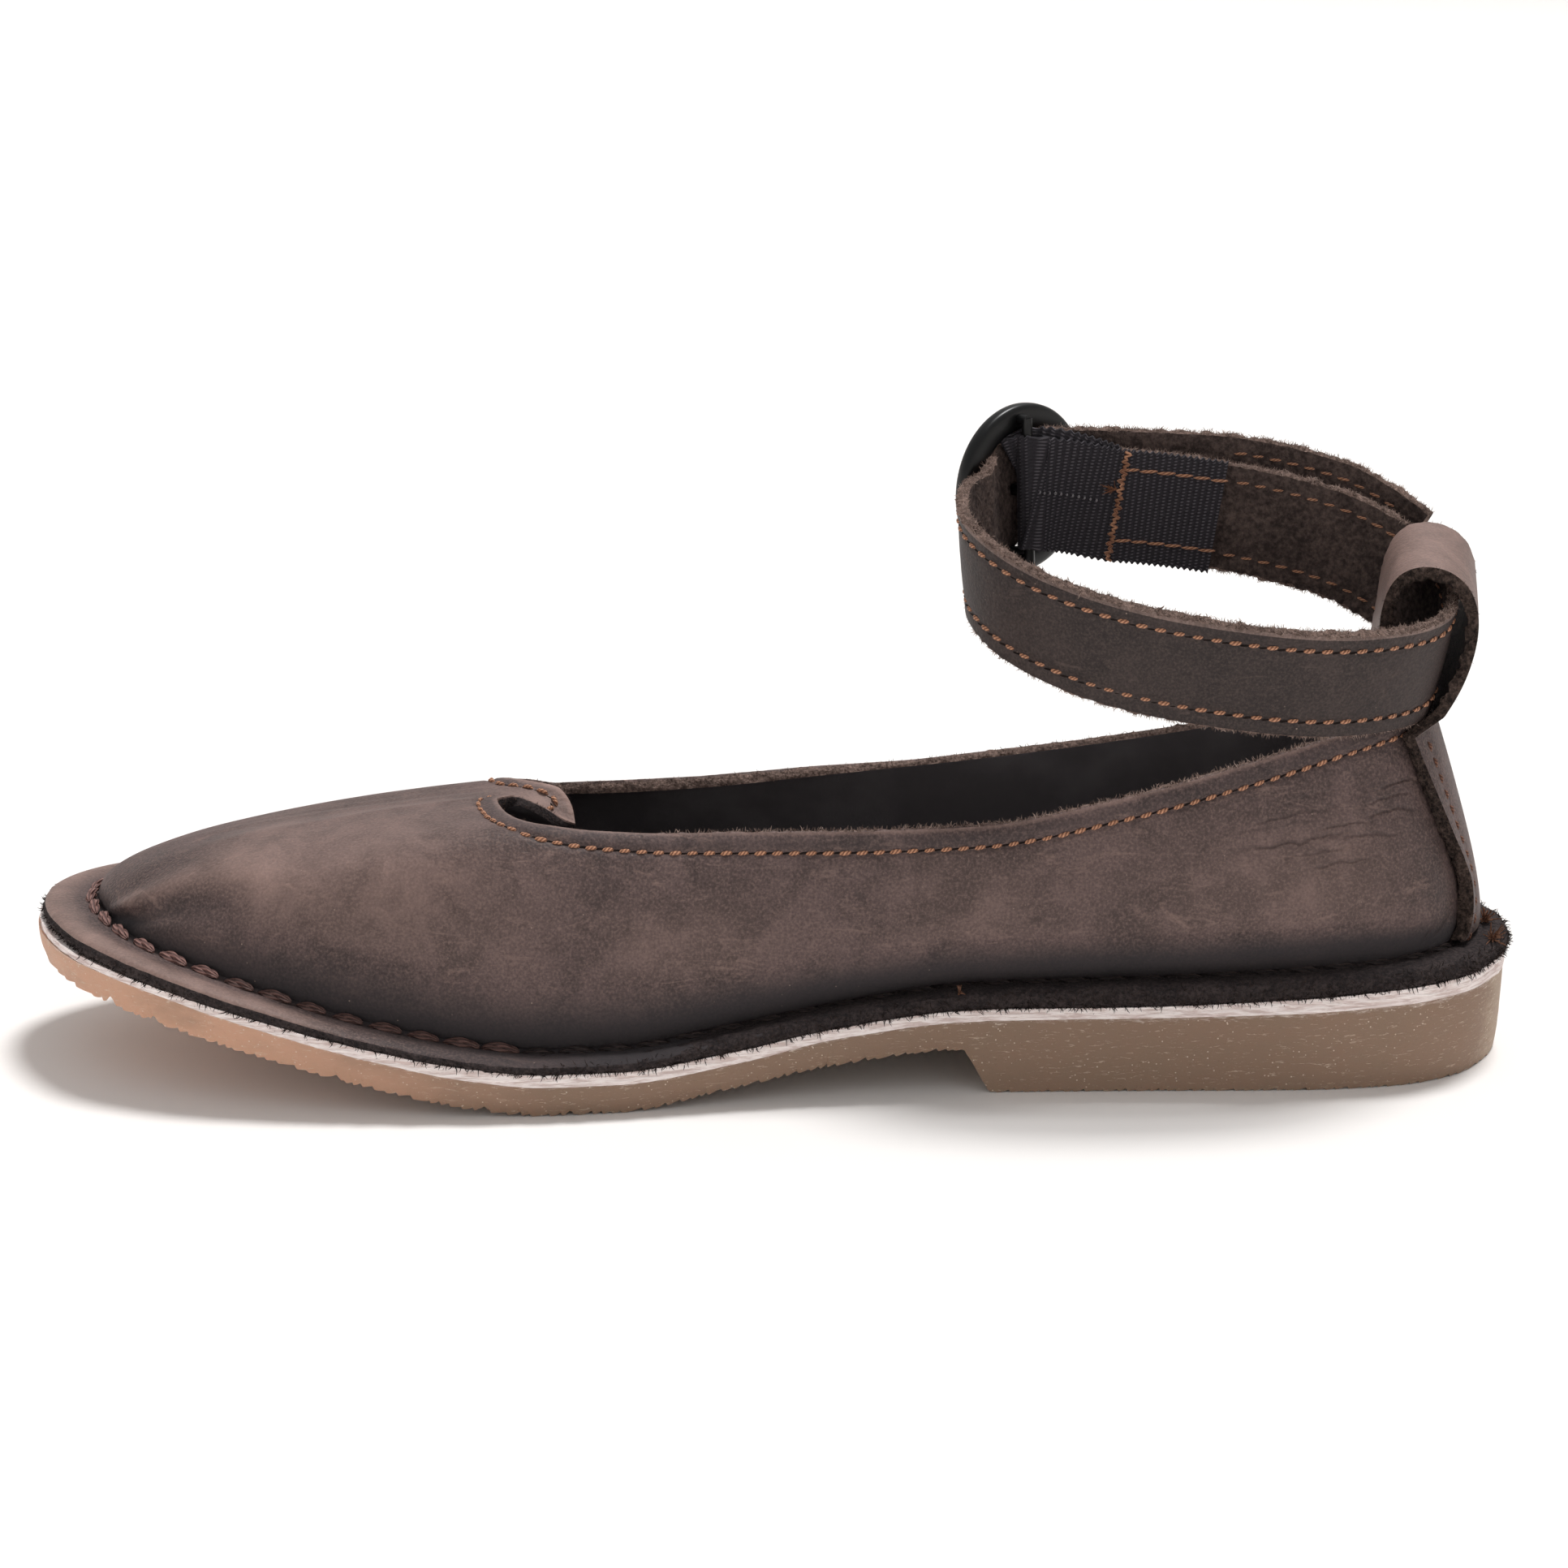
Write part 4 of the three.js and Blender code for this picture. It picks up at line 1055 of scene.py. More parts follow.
def sewn(name, points, run, up, stitch, finish, unevenness, seed):
    """Row of stitches on points, each along its run and with its up direction."""
    line = bpy.data.meshes.new(name + "_line")
    line.from_pydata(placed(points).tolist(), [], [])
    for key, values in (("run", run), ("up", up)):
        layer = line.attributes.new(key, "FLOAT_VECTOR", "POINT")
        layer.data.foreach_set("vector", np.asarray(values, np.float32).ravel())
    return SEAM.grown(name, object_from(name + "_line", line), Stitch=STITCHES[stitch], Thread=finish,
                      Unevenness=unevenness, Seed=seed)


def fuzzed(name, strip, finish, density, shortest, longest, lean, seed, close_rows=False):
    """Loose fibres on a bare strip of a grid, which goes."""
    faces = grid_faces(*strip.shape[:2], close_rows, False)[0]
    return FUZZ.grown(name, mesh_piece(name, strip, faces), Fibre=FIBRE, Suede=finish, Density=density,
                      Shortest=shortest, Longest=longest, Lean=lean, Seed=seed)


def slanted(run, up, degrees):
    angle = math.radians(degrees)
    return run * math.cos(angle) + np.cross(up, run) * math.sin(angle)


def stacked(rows):
    """Spots, runs and up directions of several rows of stitches, each as one array."""
    return [np.vstack(values) for values in zip(*rows)]


def paint(piece, name, values):
    """A number for each point of a piece."""
    layer = piece.data.attributes.new(name, "FLOAT", "POINT")
    layer.data.foreach_set("value", np.asarray(values, np.float32).ravel())


# Pieces of the sole

def side_loop(ats, bottom, top, inset_of, levels):
    """Closed loop round the sole and up its side: points and the share of the height."""
    stations = station_of(ats)
    ways = np.concatenate([-stations, stations[-2:0:-1]])
    shares = np.linspace(0, 1, levels)
    grid = []
    for share in shares:
        plan = edge_point(ways, inset_of(share) + 0 * ways)
        x = plan[:, 0]
        grid.append(raised(plan, mix(bottom(x), top(x), share)))
    return np.stack(grid, 1), shares


def slab(name, ats, bottom, top, inset_of, levels, finish, roughen=None):
    """Sole layer with its side in levels and a ladder of quads for its under and upper face."""
    grid, shares = side_loop(ats, bottom, top, inset_of, levels)
    if roughen:
        grid = roughen(grid, shares)
    count = grid.shape[0]
    faces = grid_faces(count, levels, True, False)[0]
    half = len(ats) - 1
    k = np.arange(1, half)
    rung = np.stack([k, (count - k) % count], -1)
    rung = np.vstack([[0, 0], rung, [half, half]])
    ladders = []
    for level, flip in ((0, False), (levels - 1, True)):
        ends = rung * levels + level
        quads = np.stack([ends[:-1, 0], ends[:-1, 1], ends[1:, 1], ends[1:, 0]], -1)
        ladders.append(quads[:, ::-1] if flip else quads)
    closed = outwards(grid, np.vstack([faces, *ladders]))
    closed = [list(dict.fromkeys(face)) for face in closed.tolist()]
    run = np.cumsum(np.linalg.norm(np.diff(grid[:, 0], axis=0, prepend=grid[:1, 0]), axis=1)) * MM
    uv = np.stack([np.repeat(run, levels), np.tile(shares, count)], -1)
    return mesh_piece(name, grid, closed, [finish], None, uv, SOLE_CREASE)


def fine_stations(step):
    """Distances from the toe: even along the sole and crowded at both ends."""
    even = np.arange(step, LENGTH - step / 2, step)
    ends = at_of(np.linspace(0, 1, 160))
    return np.unique(np.round(np.concatenate([[0, LENGTH], even, ends]), 3))


# Teeth along the tread, and notches torn in it: distance from the toe and depth
TOOTH_PITCH = 2.1
TOOTH_DEPTH = 0.75
NOTCHES = ((17, 1.5), (25, 1.2), (58, 1.1), (84, 1.0), (99, 0.9))


def tread_height(x):
    """Tread line with its saw teeth and a few torn notches."""
    d = x + LENGTH / 2
    phase = d / TOOTH_PITCH + 0.35 * np.sin(d * 0.31) + 0.2 * np.sin(d * 0.83)
    tooth = TOOTH_DEPTH * np.clip(phase % 1, 0, 1) ** 1.5 * (0.55 + 0.45 * np.sin(d * 0.47) ** 2)
    on_heel = np.clip((d - 150) / 25, 0, 1)
    tooth = tooth * (1 - 0.3 * on_heel)
    for at, depth in NOTCHES:
        tooth = np.maximum(tooth, depth * np.exp(-((d - at) / 0.7) ** 2))
    return height_at("tread", x) + tooth


def sideways(grid):
    """Level directions out of the sole's side."""
    centre = grid.mean(axis=0, keepdims=True)
    return unit((grid - centre) * np.array([1, 1, 0]) + 1e-9)


def toe_push(grid, amount):
    """Fullness of a sole layer at the tip of the toe."""
    return amount * np.exp(-((grid[..., 0] + LENGTH / 2) / 16) ** 2)


def rubber_side(grid, shares):
    """Slight unevenness of the rubber's side."""
    soft = lumps(grid, 9, 3) * 0.25 + lumps(grid, 2.2, 4) * 0.08
    belly = np.sin(math.pi * shares)[None, :] * 0.35
    push = soft * np.sin(math.pi * shares) ** 0.5 + belly + toe_push(grid, 1.9)
    return grid + sideways(grid) * push[..., None]


def runner_side(grid, _):
    """Buffed, hairy side of the runner."""
    rough = lumps(grid, 0.9, 11) * 0.16 + lumps(grid, 3.5, 12) * 0.16 + toe_push(grid, 1.3)
    return grid + sideways(grid) * rough[..., None]


def make_sole():
    outsole = slab("outsole_rubber", fine_stations(0.42), tread_height,
                   lambda x: height_at("sole", x) - GAP / 2 + 0.1,
                   lambda share: SOLE_EDGE_TAPER * (1 - share), 9, RUBBER, rubber_side)
    runner = slab("runner_layer", fine_stations(0.8),
                  lambda x: height_at("sole", x) - GAP / 2 + 0.12,
                  lambda x: height_at("runner", x) + GAP / 2,
                  lambda share: RUNNER_INSET, 7, RUNNER, runner_side)
    return outsole, runner


# The upper

# Steps of the upper: round the shoe, and up its wall
WALL_WAYS = 720
WALL_CLIMBS = 64
WAYS = np.linspace(-1, 1, WALL_WAYS, endpoint=False)
# Numbers of the upper's finishes
SKIN, PALE_RAW, DARK_RAW, BACK, LINED = range(5)
UPPER_FINISHES = [GRAIN, SUEDE, DARK_SUEDE, FLESH, LINING]
# Pull folds at the toe, on the inner wall: points as (x, z), width and height at their start and end
CREASES = (
    (((-120.5, 28.2), (-113, 32.3), (-107.6, 34.7), (-101.7, 36.7), (-95, 38.5), (-84, 40)),
     (0.7, 3.0), (1.3, 0.6)),
    (((-119.6, 26.6), (-112.7, 30.0), (-107.2, 31.4), (-101, 32.2), (-92, 33)),
     (1.1, 3.6), (-1.2, -0.3)),
    (((-112, 28.6), (-104, 29.6), (-95, 30)),
     (1.6, 3.2), (0.5, 0.2)),
)
# Paler places, partly rubbed and partly painted highlight where light falls on the vamp, fainter on the outer
# side: x, z, size and strength
RUBBED_AND_LIT = ((-91, 38, 9, 0.2), (-70, 40, 18, 0.24), (-50, 34, 12, 0.06), (-24, 29, 7, 0.1), (-10, 28, 13, 0.1),
          (35, 33, 16, 0.12), (78, 36, 20, 0.1), (100, 38, 14, 0.13))
# Rubbed flap of the throat
FLAP = np.array([-40.0, 2.0, 44.0])
# Way at which the collar seam ends, beside the backstay
COLLAR_SEAM_END = 0.945
# Stitches of the welt: start and end from the toe, lift, thread and seed; the thread darkens towards the heel
# as painted shade under the overhanging wall
WELT_RUNS = (
    ("welt_stitches_toe", 0, 38, 0.25, MADDER, 5),
    ("welt_stitches_fore", 38, 92, 0.15, HALF_SHADED, 21),
    ("welt_stitches_heel", 92, LENGTH, -0.3, SHADED, 8),
)
# Rows by which the upper is turned so that its heel is one strip
HEEL_ROLL = 200
# Length of the shortest fibre and lean of all, on the upper's edges
UPPER_SHORTEST = 0.25
UPPER_LEAN = 0.9
# Painted shade at the foot of the wall, where it overhangs the welt, by way: height that is fully dark, and
# height where it ends
FOOT_SHADE = table("way full end", [
    (0.00, 0.0, 2.5),
    (0.15, 0.0, 6.0),
    (0.30, 0.5, 14.0),
    (0.42, 3.0, 14.0),
    (0.50, 5.0, 13.0),
    (0.75, 5.0, 10.0),
    (0.90, 2.0, 7.5),
    (1.00, 0.0, 5.0),
])


def near_line(x, z, line):
    """Distance in the side view from points to a line of points, and how far along it they are."""
    best, share = np.full(x.shape, 1e9), np.zeros(x.shape)
    for k, ((ax, az), (bx, bz)) in enumerate(zip(line, line[1:])):
        dx, dz = bx - ax, bz - az
        t = np.clip(((x - ax) * dx + (z - az) * dz) / (dx * dx + dz * dz), 0, 1)
        away = np.hypot(x - ax - t * dx, z - az - t * dz)
        share = np.where(away < best, (k + t) / (len(line) - 1), share)
        best = np.minimum(best, away)
    return best, share


def from_line(grid, line):
    """Distance from each point of a grid to the nearest place on a closed line."""
    dense = resampled(line, 0.4, True)
    columns = np.swapaxes(grid, 0, 1)
    return np.stack([np.linalg.norm(column[:, None] - dense, axis=2).min(1) for column in columns], 1)


def at_flap(points, size):
    """How near points are to the throat's flap, from 1 on it to 0."""
    return np.exp(-(np.linalg.norm(points - FLAP, axis=-1) / size) ** 2)


def seam_inset(points):
    """Distance of the collar seam from the edge, less on the flap."""
    return COLLAR_SEAM["inset"] - 1.4 * at_flap(points, 13)


def wall_relief(points, from_edge):
    """Height of grooves, folds and soft unevenness on the upper's outer face."""
    x, y, z = (points[..., k] for k in range(3))
    inset = seam_inset(points)
    relief = -COLLAR_GROOVE["depth"] * np.exp(-((from_edge - inset) / COLLAR_GROOVE["width"]) ** 2)
    relief += COLLAR_GROOVE["puff"] * np.sin(math.pi * np.clip(from_edge / inset, 0, 1))
    relief *= 1 - 0.85 * at_flap(points, 16)
    inner_side = np.clip(-y / 8, 0, 1)
    folds = np.zeros(x.shape)
    for line, width, height in CREASES:
        away, share = near_line(x, z, line)
        fade = np.minimum(1, 6 * share + 0.4) * np.minimum(1, 5 * (1 - share) + 0.15)
        folds += mix(*height, share) * fade * np.exp(-(away / mix(*width, share)) ** 2) * inner_side
    for middle_x, middle_z, half, rise, bend, width, depth in WRINKLES:
        u = (x - middle_x) / half
        away = z - middle_z - u * rise - u * u * bend
        fade = np.clip(1.4 * (1 - np.abs(u)), 0, 1)
        relief -= 0.28 * depth * fade * np.exp(-(away / (2 * width)) ** 2) * inner_side
    relief += lumps(points, 26, 21) * 0.35 + lumps(points, 9, 22) * 0.1
    return relief + folds, folds


def wall_tone(outer, folds, from_edge):
    """Darker (-1) to lighter (1) leather on the wall: painted shade at the foot, painted shade and highlight
    on the folds, paler places partly rubbed and partly painted highlight, and the rubbed collar.
    """
    segment = np.linalg.norm(np.diff(outer, axis=1), axis=2)
    from_foot = np.concatenate([np.zeros((WALL_WAYS, 1)), np.cumsum(segment, 1)], 1)
    full, end = (curve(np.abs(WAYS[:, None])) for curve in curves(FOOT_SHADE, "way", "full end").values())
    t = np.clip((from_foot - full) / (end - full), 0, 1)
    # Painted shade at the foot of the wall, where it overhangs the welt
    tone = -0.93 * (1 - t * t * (3 - 2 * t))
    # Painted shade in the folds' valleys and painted highlight on their ridges
    tone += np.clip(folds, -1, 0) * 0.32 + np.clip(folds, 0, 1) * 0.24
    # Paler places: partly rubbed wear, partly painted highlight
    side_share = np.clip(0.7 - outer[..., 1] / 40, 0.3, 1)
    for x, z, size, strength in RUBBED_AND_LIT:
        away = np.hypot(outer[..., 0] - x, 1.4 * (outer[..., 2] - z))
        tone += strength * np.exp(-(away / size) ** 2) * side_share
    tone += 0.5 * at_flap(outer, 10)
    tone += 0.3 * np.exp(-(from_edge / 0.7) ** 2) - 0.27 * np.exp(-((from_edge - 2.1) / 1.3) ** 2)
    return np.clip(tone, -1, 1)


def welt_tone(ways, share):
    """Welt's top: pale rim at the toe, partly rubbed and partly painted highlight; painted shade beside the
    wall and towards the heel, where the wall overhangs it.
    """
    station = np.abs(ways)
    fore = 1 - np.clip((station - 0.27) / 0.16, 0, 1)
    rubbed = 0.42 * np.exp(-(share / 0.5) ** 2) * fore
    # Painted shade beside the overhanging wall and towards the heel
    shaded = -0.5 * share ** 3 * fore - 0.9 * (1 - fore)
    return rubbed + shaded


def upper_grid():
    """Section loops of the upper: points, finishes, painted tone, parts' columns, distance to the edge."""
    ways = WAYS[:, None]
    welt = sole["welt"](np.abs(WAYS))
    fore = 1 - np.clip((np.abs(ways) - 0.33) / 0.18, 0, 1)
    throat = 1 - np.clip((np.abs(ways) - 0.16) / 0.05, 0, 1)
    raw = np.clip((np.abs(ways) - 0.43) / 0.08, 0, 1)

    under = np.stack([rim(WAYS, mix(welt + LEATHER, 0.3, s), 0) for s in np.linspace(0, 1, 4)], 1)
    under_finish = np.full(under.shape[1], BACK)
    under_finish[-1] = DARK_RAW
    edge = np.stack([rim(WAYS, 0.2 - 0.9 * math.sin(math.pi * s) ** 0.7, s)
                     for s in np.linspace(0.08, 0.92, 7)], 1)
    corner = np.arange(edge.shape[1]) >= 5
    edge = crumbled(edge, 0.36 * (1 - 0.85 * fore * corner), 0.9, 31)
    edge_skin = (raw + 0.4 * lumps(edge, 2.2, 38) < 0.5) & corner

    s = np.linspace(0, 1, 11)[:-1]
    top = np.stack([rim(WAYS, mix(0.25, welt, share), 1) for share in s], 1)
    top[..., 2] += 0.35 * np.sin(math.pi * np.minimum(1, s * 2.2)) - 0.5 * np.exp(-((s - 0.86) / 0.1) ** 2)
    hollow = (1 - fore) * np.linspace(1, 0, len(s)) ** 0.7
    top[..., 2] += hollow * (lumps(top, 13, 33) * 0.45 + lumps(top, 4, 34) * 0.25)
    top_raw = raw + 0.4 * lumps(top, 2.2, 37) > 0.5
    top = crumbled(top, np.broadcast_to(0.2 * (1 - fore), top.shape[:2]), 1.1, 36)

    t = np.linspace(0, 1, WALL_CLIMBS)
    climbs = (t - 0.11 * np.sin(2 * math.pi * t))[None, :]
    smooth_wall = wall_point(ways, climbs)
    from_edge = from_line(smooth_wall, smooth_wall[:, -1])
    relief, folds = wall_relief(smooth_wall, from_edge)
    outer = smooth_wall + wall_normal(ways, climbs) * (relief * np.clip(t / 0.06, 0, 1))[..., None]
    inner = wall_offset(ways, climbs[:, ::-2], -LEATHER)
    rise = unit(outer[:, -1] - outer[:, -4])
    lip = np.stack([mix(outer[:, -1], inner[:, 0], s) + rise * 0.35 * math.sin(math.pi * s)
                    for s in np.linspace(0, 1, 7)[1:-1]], 1)
    lip = crumbled(lip, np.broadcast_to(0.32 * (1 - throat), lip.shape[:2]), 0.8, 41)

    parts = {
        "under": (under, under_finish, 0),
        "edge": (edge, np.where(edge_skin, SKIN, DARK_RAW), welt_tone(ways, 0) * corner),
        "top": (top, np.where(top_raw, DARK_RAW, SKIN), welt_tone(ways, s)),
        "wall": (outer, SKIN, wall_tone(smooth_wall, folds, from_edge)),
        "lip": (lip, np.where(np.abs(ways) < 0.17, DARK_RAW, PALE_RAW), 0),
        "inside": (inner, LINED, 0),
    }
    grid = np.concatenate([points for points, _, _ in parts.values()], 1)
    finish_of = np.empty(grid.shape[:2], int)
    tone = np.empty(grid.shape[:2])
    spans = {}
    start = 0
    for name, (points, finish, paler) in parts.items():
        spans[name] = slice(start, start + points.shape[1])
        finish_of[:, spans[name]] = finish
        tone[:, spans[name]] = paler
        start += points.shape[1]
    return grid, finish_of, tone, spans, from_edge


def laid_on(grid, points):
    """Points moved onto the surface of a grid closed in its rows, and its normals there."""
    faces = grid_faces(*grid.shape[:2], True, False)[0]
    tree = BVHTree.FromPolygons(grid.reshape(-1, 3).tolist(), faces.tolist())
    found = [tree.find_nearest(Vector(p)) for p in points]
    return np.array([spot for spot, *_ in found]), np.array([normal for _, normal, *_ in found])


def collar_seam(wall_grid, from_edge):
    """Stitches of the collar, on the wall at an even distance from the edge, and dark dashes between them as
    painted shade in the pinholes.
    """
    spots = []
    for way, row, past in zip(WAYS, wall_grid, from_edge - seam_inset(wall_grid)):
        if abs(way) < COLLAR_SEAM_END:
            k = np.nonzero(past >= 0)[0].max()
            spots.append(mix(row[k], row[k + 1], past[k] / (past[k] - past[k + 1])))
    line = resampled(np.array(spots), COLLAR_SEAM["pitch"] / 6)
    points, up = laid_on(wall_grid, resampled(softened(line, 6), COLLAR_SEAM["pitch"]))
    if up[len(up) // 4] @ np.array([0, -1, 0.3]) < 0:
        up = -up
    run = slanted(tangents(points), up, 8)
    lift = 0.06 + 0.28 * at_flap(points, 12)
    between = (points[1:] + points[:-1]) / 2
    return [sewn("collar_stitches", points + up * lift[:, None], run, up, "fine", COPPER, 0.08, 3),
            sewn("collar_holes", between, run[1:], up[1:], "hole", HOLE_SHADE, 0.1, 4)]


def welt_seam():
    """Heavy stitches along the welt, in runs of their own thread."""
    ways = np.linspace(-0.97, 0.97, 1600)
    sunk = np.clip((np.abs(ways) - 0.38) / 0.12, 0, 1)
    line = rim(ways, sole["welt"](np.abs(ways)) - mix(WELT_SEAM["inset"], 0.1, sunk), 1)
    points = resampled(line, WELT_SEAM["pitch"])
    run = tangents(points)
    out = np.cross(run, UP)
    out = np.where(np.einsum("ij,ij->i", out, points - np.array([0, 3.0, 0]))[:, None] < 0, -out, out)
    up = unit(UP + out * 0.35)
    run = slanted(run, up, -9)
    at = points[:, 0] + LENGTH / 2
    rows = []
    for name, start, end, lift, finish, seed in WELT_RUNS:
        chosen = (at >= start) & (at < end)
        spots = points[chosen] + UP * lift
        rows.append(sewn(name, spots, run[chosen], up[chosen], "heavy", finish, 0.1, seed))
    return rows


def upper_fuzz(grid, spans):
    """Loose fibres on the raw edges of collar and welt."""
    lip, edge = (grid[:, spans[part].start - 1:spans[part].stop + 1] for part in ("lip", "edge"))
    near = (WAYS > -0.93) & (WAYS < -0.42)
    heel = np.roll(np.abs(WAYS) > 0.4, HEEL_ROLL)
    strips = (
        ("collar_fuzz", lip, FIBRE_BROWN, 2.2e6, 0.7, 6),
        ("collar_fuzz_near", lip[near], FIBRE_PALE, 3.4e6, 1.15, 9),
        ("welt_fuzz", edge[:, :-3], FIBRE_DARK, 2.2e6, 1.15, 7),
        ("welt_hairs", edge[:, :3], FIBRE_DARK, 2.2e6, 1.6, 12),
        ("welt_fuzz_heel", np.roll(edge, HEEL_ROLL, axis=0)[heel], FIBRE_DARK, 1.6e6, 1.4, 10),
    )
    return [fuzzed(name, strip, finish, density, UPPER_SHORTEST, longest, UPPER_LEAN, seed,
                   close_rows=len(strip) == WALL_WAYS)
            for name, strip, finish, density, longest, seed in strips]


def make_upper():
    grid, finish_of, tone, spans, from_edge = upper_grid()
    leather = grid_piece("upper_leather", grid, UPPER_FINISHES, finish_of, True)
    paint(leather, "tone", tone)
    return [leather, *collar_seam(grid[:, spans["wall"]], from_edge), *welt_seam(), *upper_fuzz(grid, spans)]


# Strap, elastic and buckle

# Parts of a band's section
OUTER, EDGES, INNER, RIM = range(4)


def band_section(width, thickness, outer_steps, inner_steps, edge_steps, corner):
    """Section of a band: places across and through it, and the part that each belongs to."""
    half, deep = width / 2 - corner, thickness / 2
    s = np.linspace(0, 1, edge_steps + 2)[1:-1]
    swell = half + corner * np.sin(math.pi * s) ** 0.6
    rise = thickness * s - deep
    across = [np.linspace(-half, half, outer_steps), swell, np.linspace(half, -half, inner_steps), -swell]
    through = [np.full(outer_steps, -deep), rise, np.full(inner_steps, deep), -rise]
    part = np.repeat([OUTER, EDGES, INNER, EDGES], [outer_steps, edge_steps, inner_steps, edge_steps])
    part[[outer_steps - 1, outer_steps + edge_steps + inner_steps - 1]] = EDGES
    return np.concatenate(across), np.concatenate(through), part


def band_axes(points, ups):
    along = tangents(points)
    side = unit(np.cross(along, ups))
    rise = unit(np.cross(side, along))
    rise = np.where(np.einsum("ij,ij->i", rise, ups)[:, None] < 0, -rise, rise)
    return along, side, rise


def band_grid(points, axes, across, through):
    """Points some distance across and through a band, at each point of its line."""
    _, side, rise = (axis[:, None] for axis in axes)
    return points[:, None] + rise * np.asarray(across)[..., None] + side * np.asarray(through)[..., None]


def seam_on(line, run, axes, at, facing, slant):
    """Spots, runs and up directions of stitches at distances along a band's line."""
    up = unit(picked(at, run, axes[1] * facing))
    return picked(at, run, line), slanted(unit(picked(at, run, axes[0])), up, slant), up


def cutter(points, radius):
    """Plain rod that cuts a hole."""
    return tube("cutter", points, radius, 20, HOLE_SHADE)


def prong_cutter():
    """Rod a little thicker than the prong, which starts behind its root."""
    path = prong_path()
    return cutter(np.vstack([[2 * path[0] - path[2]], path[::2]]), RING["prong"] + 0.25)


def cut(piece, tools):
    """Piece with the tools cut out of it; the tools go."""
    for tool in tools:
        modifier = piece.modifiers.new("cut", "BOOLEAN")
        modifier.operation = "DIFFERENCE"
        modifier.solver = "EXACT"
        modifier.object = tool
    bpy.context.view_layer.update()
    graph = bpy.context.evaluated_depsgraph_get()
    mesh = bpy.data.meshes.new_from_object(piece.evaluated_get(graph))
    name = piece.name
    bpy.data.objects.remove(piece)
    for tool in tools:
        bpy.data.objects.remove(tool)
    mesh.name = name
    return object_from(name, mesh)


# Width of the painted highlight along the strap's upper edge
STRAP_RIM = 1.1
# Steps of the strap: along it, and on its outer face, its inner face and an edge
STRAP_STEPS = 760
STRAP_OUTER, STRAP_INNER, STRAP_EDGE = 33, 21, 5
# Seams of the strap: face, way it faces, depth, stitch, and turns between which it shows
STRAP_SEAMS = (
    ("outer", -1, -LEATHER / 2 + 0.2, "fine", [(107, -322)]),
    ("inner", 1, LEATHER / 2 + 0.05, "buried", [(84, -150), (-276, -319)]),
)


def strap_seams(points, axes, seam_at):
    """Stitches on both faces of the strap, and dark dashes as painted shade in the pinholes of its outer
    face.
    """
    turn = np.linspace(STRAP["turn"][0], STRAP["turn"][-1], STRAP_STEPS + 1)
    pieces = []
    for face, facing, depth, stitch, spans in STRAP_SEAMS:
        rows = []
        for start, end in spans:
            chosen = (turn <= start) & (turn >= end)
            for sign in (-1, 1):
                line = band_grid(points, axes, [sign * seam_at], [depth])[chosen, 0]
                run = run_along(line)
                at = np.arange(2.5, run[-1] - 2, STRAP_SEAM["pitch"])
                rows.append(seam_on(line, run, [axis[chosen] for axis in axes], at, facing, 9))
        spots, runs, up = stacked(rows)
        pieces.append(sewn(f"strap_stitches_{face}", spots, runs, up, stitch, COPPER, 0.08, 11))
        if face == "outer":
            holes = spots + runs * STRAP_SEAM["pitch"] / 2
            pieces.append(sewn("strap_holes", holes, runs, up, "hole", HOLE_SHADE, 0.1, 12))
    return pieces


def make_strap():
    points, ups = oval_run(STRAP, STRAP_STEPS)
    axes = band_axes(points, ups)
    across, through, part = band_section(STRAP_WIDTH, LEATHER, STRAP_OUTER, STRAP_INNER, STRAP_EDGE, 0.45)
    seam_at = STRAP_WIDTH / 2 - STRAP_SEAM["inset"]
    groove = STRAP_GROOVE["depth"] * np.exp(-((np.abs(across) - seam_at) / STRAP_GROOVE["width"]) ** 2)
    puff = STRAP_GROOVE["puff"] * np.cos(np.clip(across / seam_at, -1, 1) * math.pi / 2)
    grid = band_grid(points, axes, across, np.where(part == OUTER, through + groove - puff, through))
    wave = lumps(grid, 14, 51) * 0.2
    grid = grid + axes[1][:, None] * (wave * (part == OUTER))[..., None]
    crumbs = np.select([part == EDGES, part == INNER], [0.36, 0.14], 0.0)
    grid = crumbled(grid, np.broadcast_to(crumbs, grid.shape[:2]), 0.95, 52)
    # Painted highlight along the upper edge of the strap's outer face
    shown = np.where((part == OUTER) & (across > STRAP_WIDTH / 2 - STRAP_RIM), RIM, part)
    band = grid_piece("strap_leather", grid, [STRAP_GRAIN, SUEDE, FLESH, LIT_STRAP_GRAIN], shown, False, EDGES)

    tools = []
    for turn in HOLE_TURNS:
        _, out, _ = oval_frame(turn)
        at = oval_point(np.array([float(turn)]), np.zeros(1), 0.3)[0]
        tools.append(cutter([at - out * 5, at, at + out * 6], HOLE_RADIUS))
    pieces = [cut(band, [*tools, prong_cutter()]), *strap_seams(points, axes, seam_at)]

    inner_start = STRAP_OUTER + STRAP_EDGE
    inner_end = inner_start + STRAP_INNER
    for name, columns, seed in (("strap_fuzz_top", np.r_[STRAP_OUTER - 1:inner_start + 1], 13),
                                ("strap_fuzz_low", np.r_[inner_end - 1:inner_end + STRAP_EDGE, 0], 14)):
        pieces.append(fuzzed(name, grid[:, columns], FIBRE_PALE, 5.0e6, 0.25, 0.95, 1.0, seed))
    return pieces


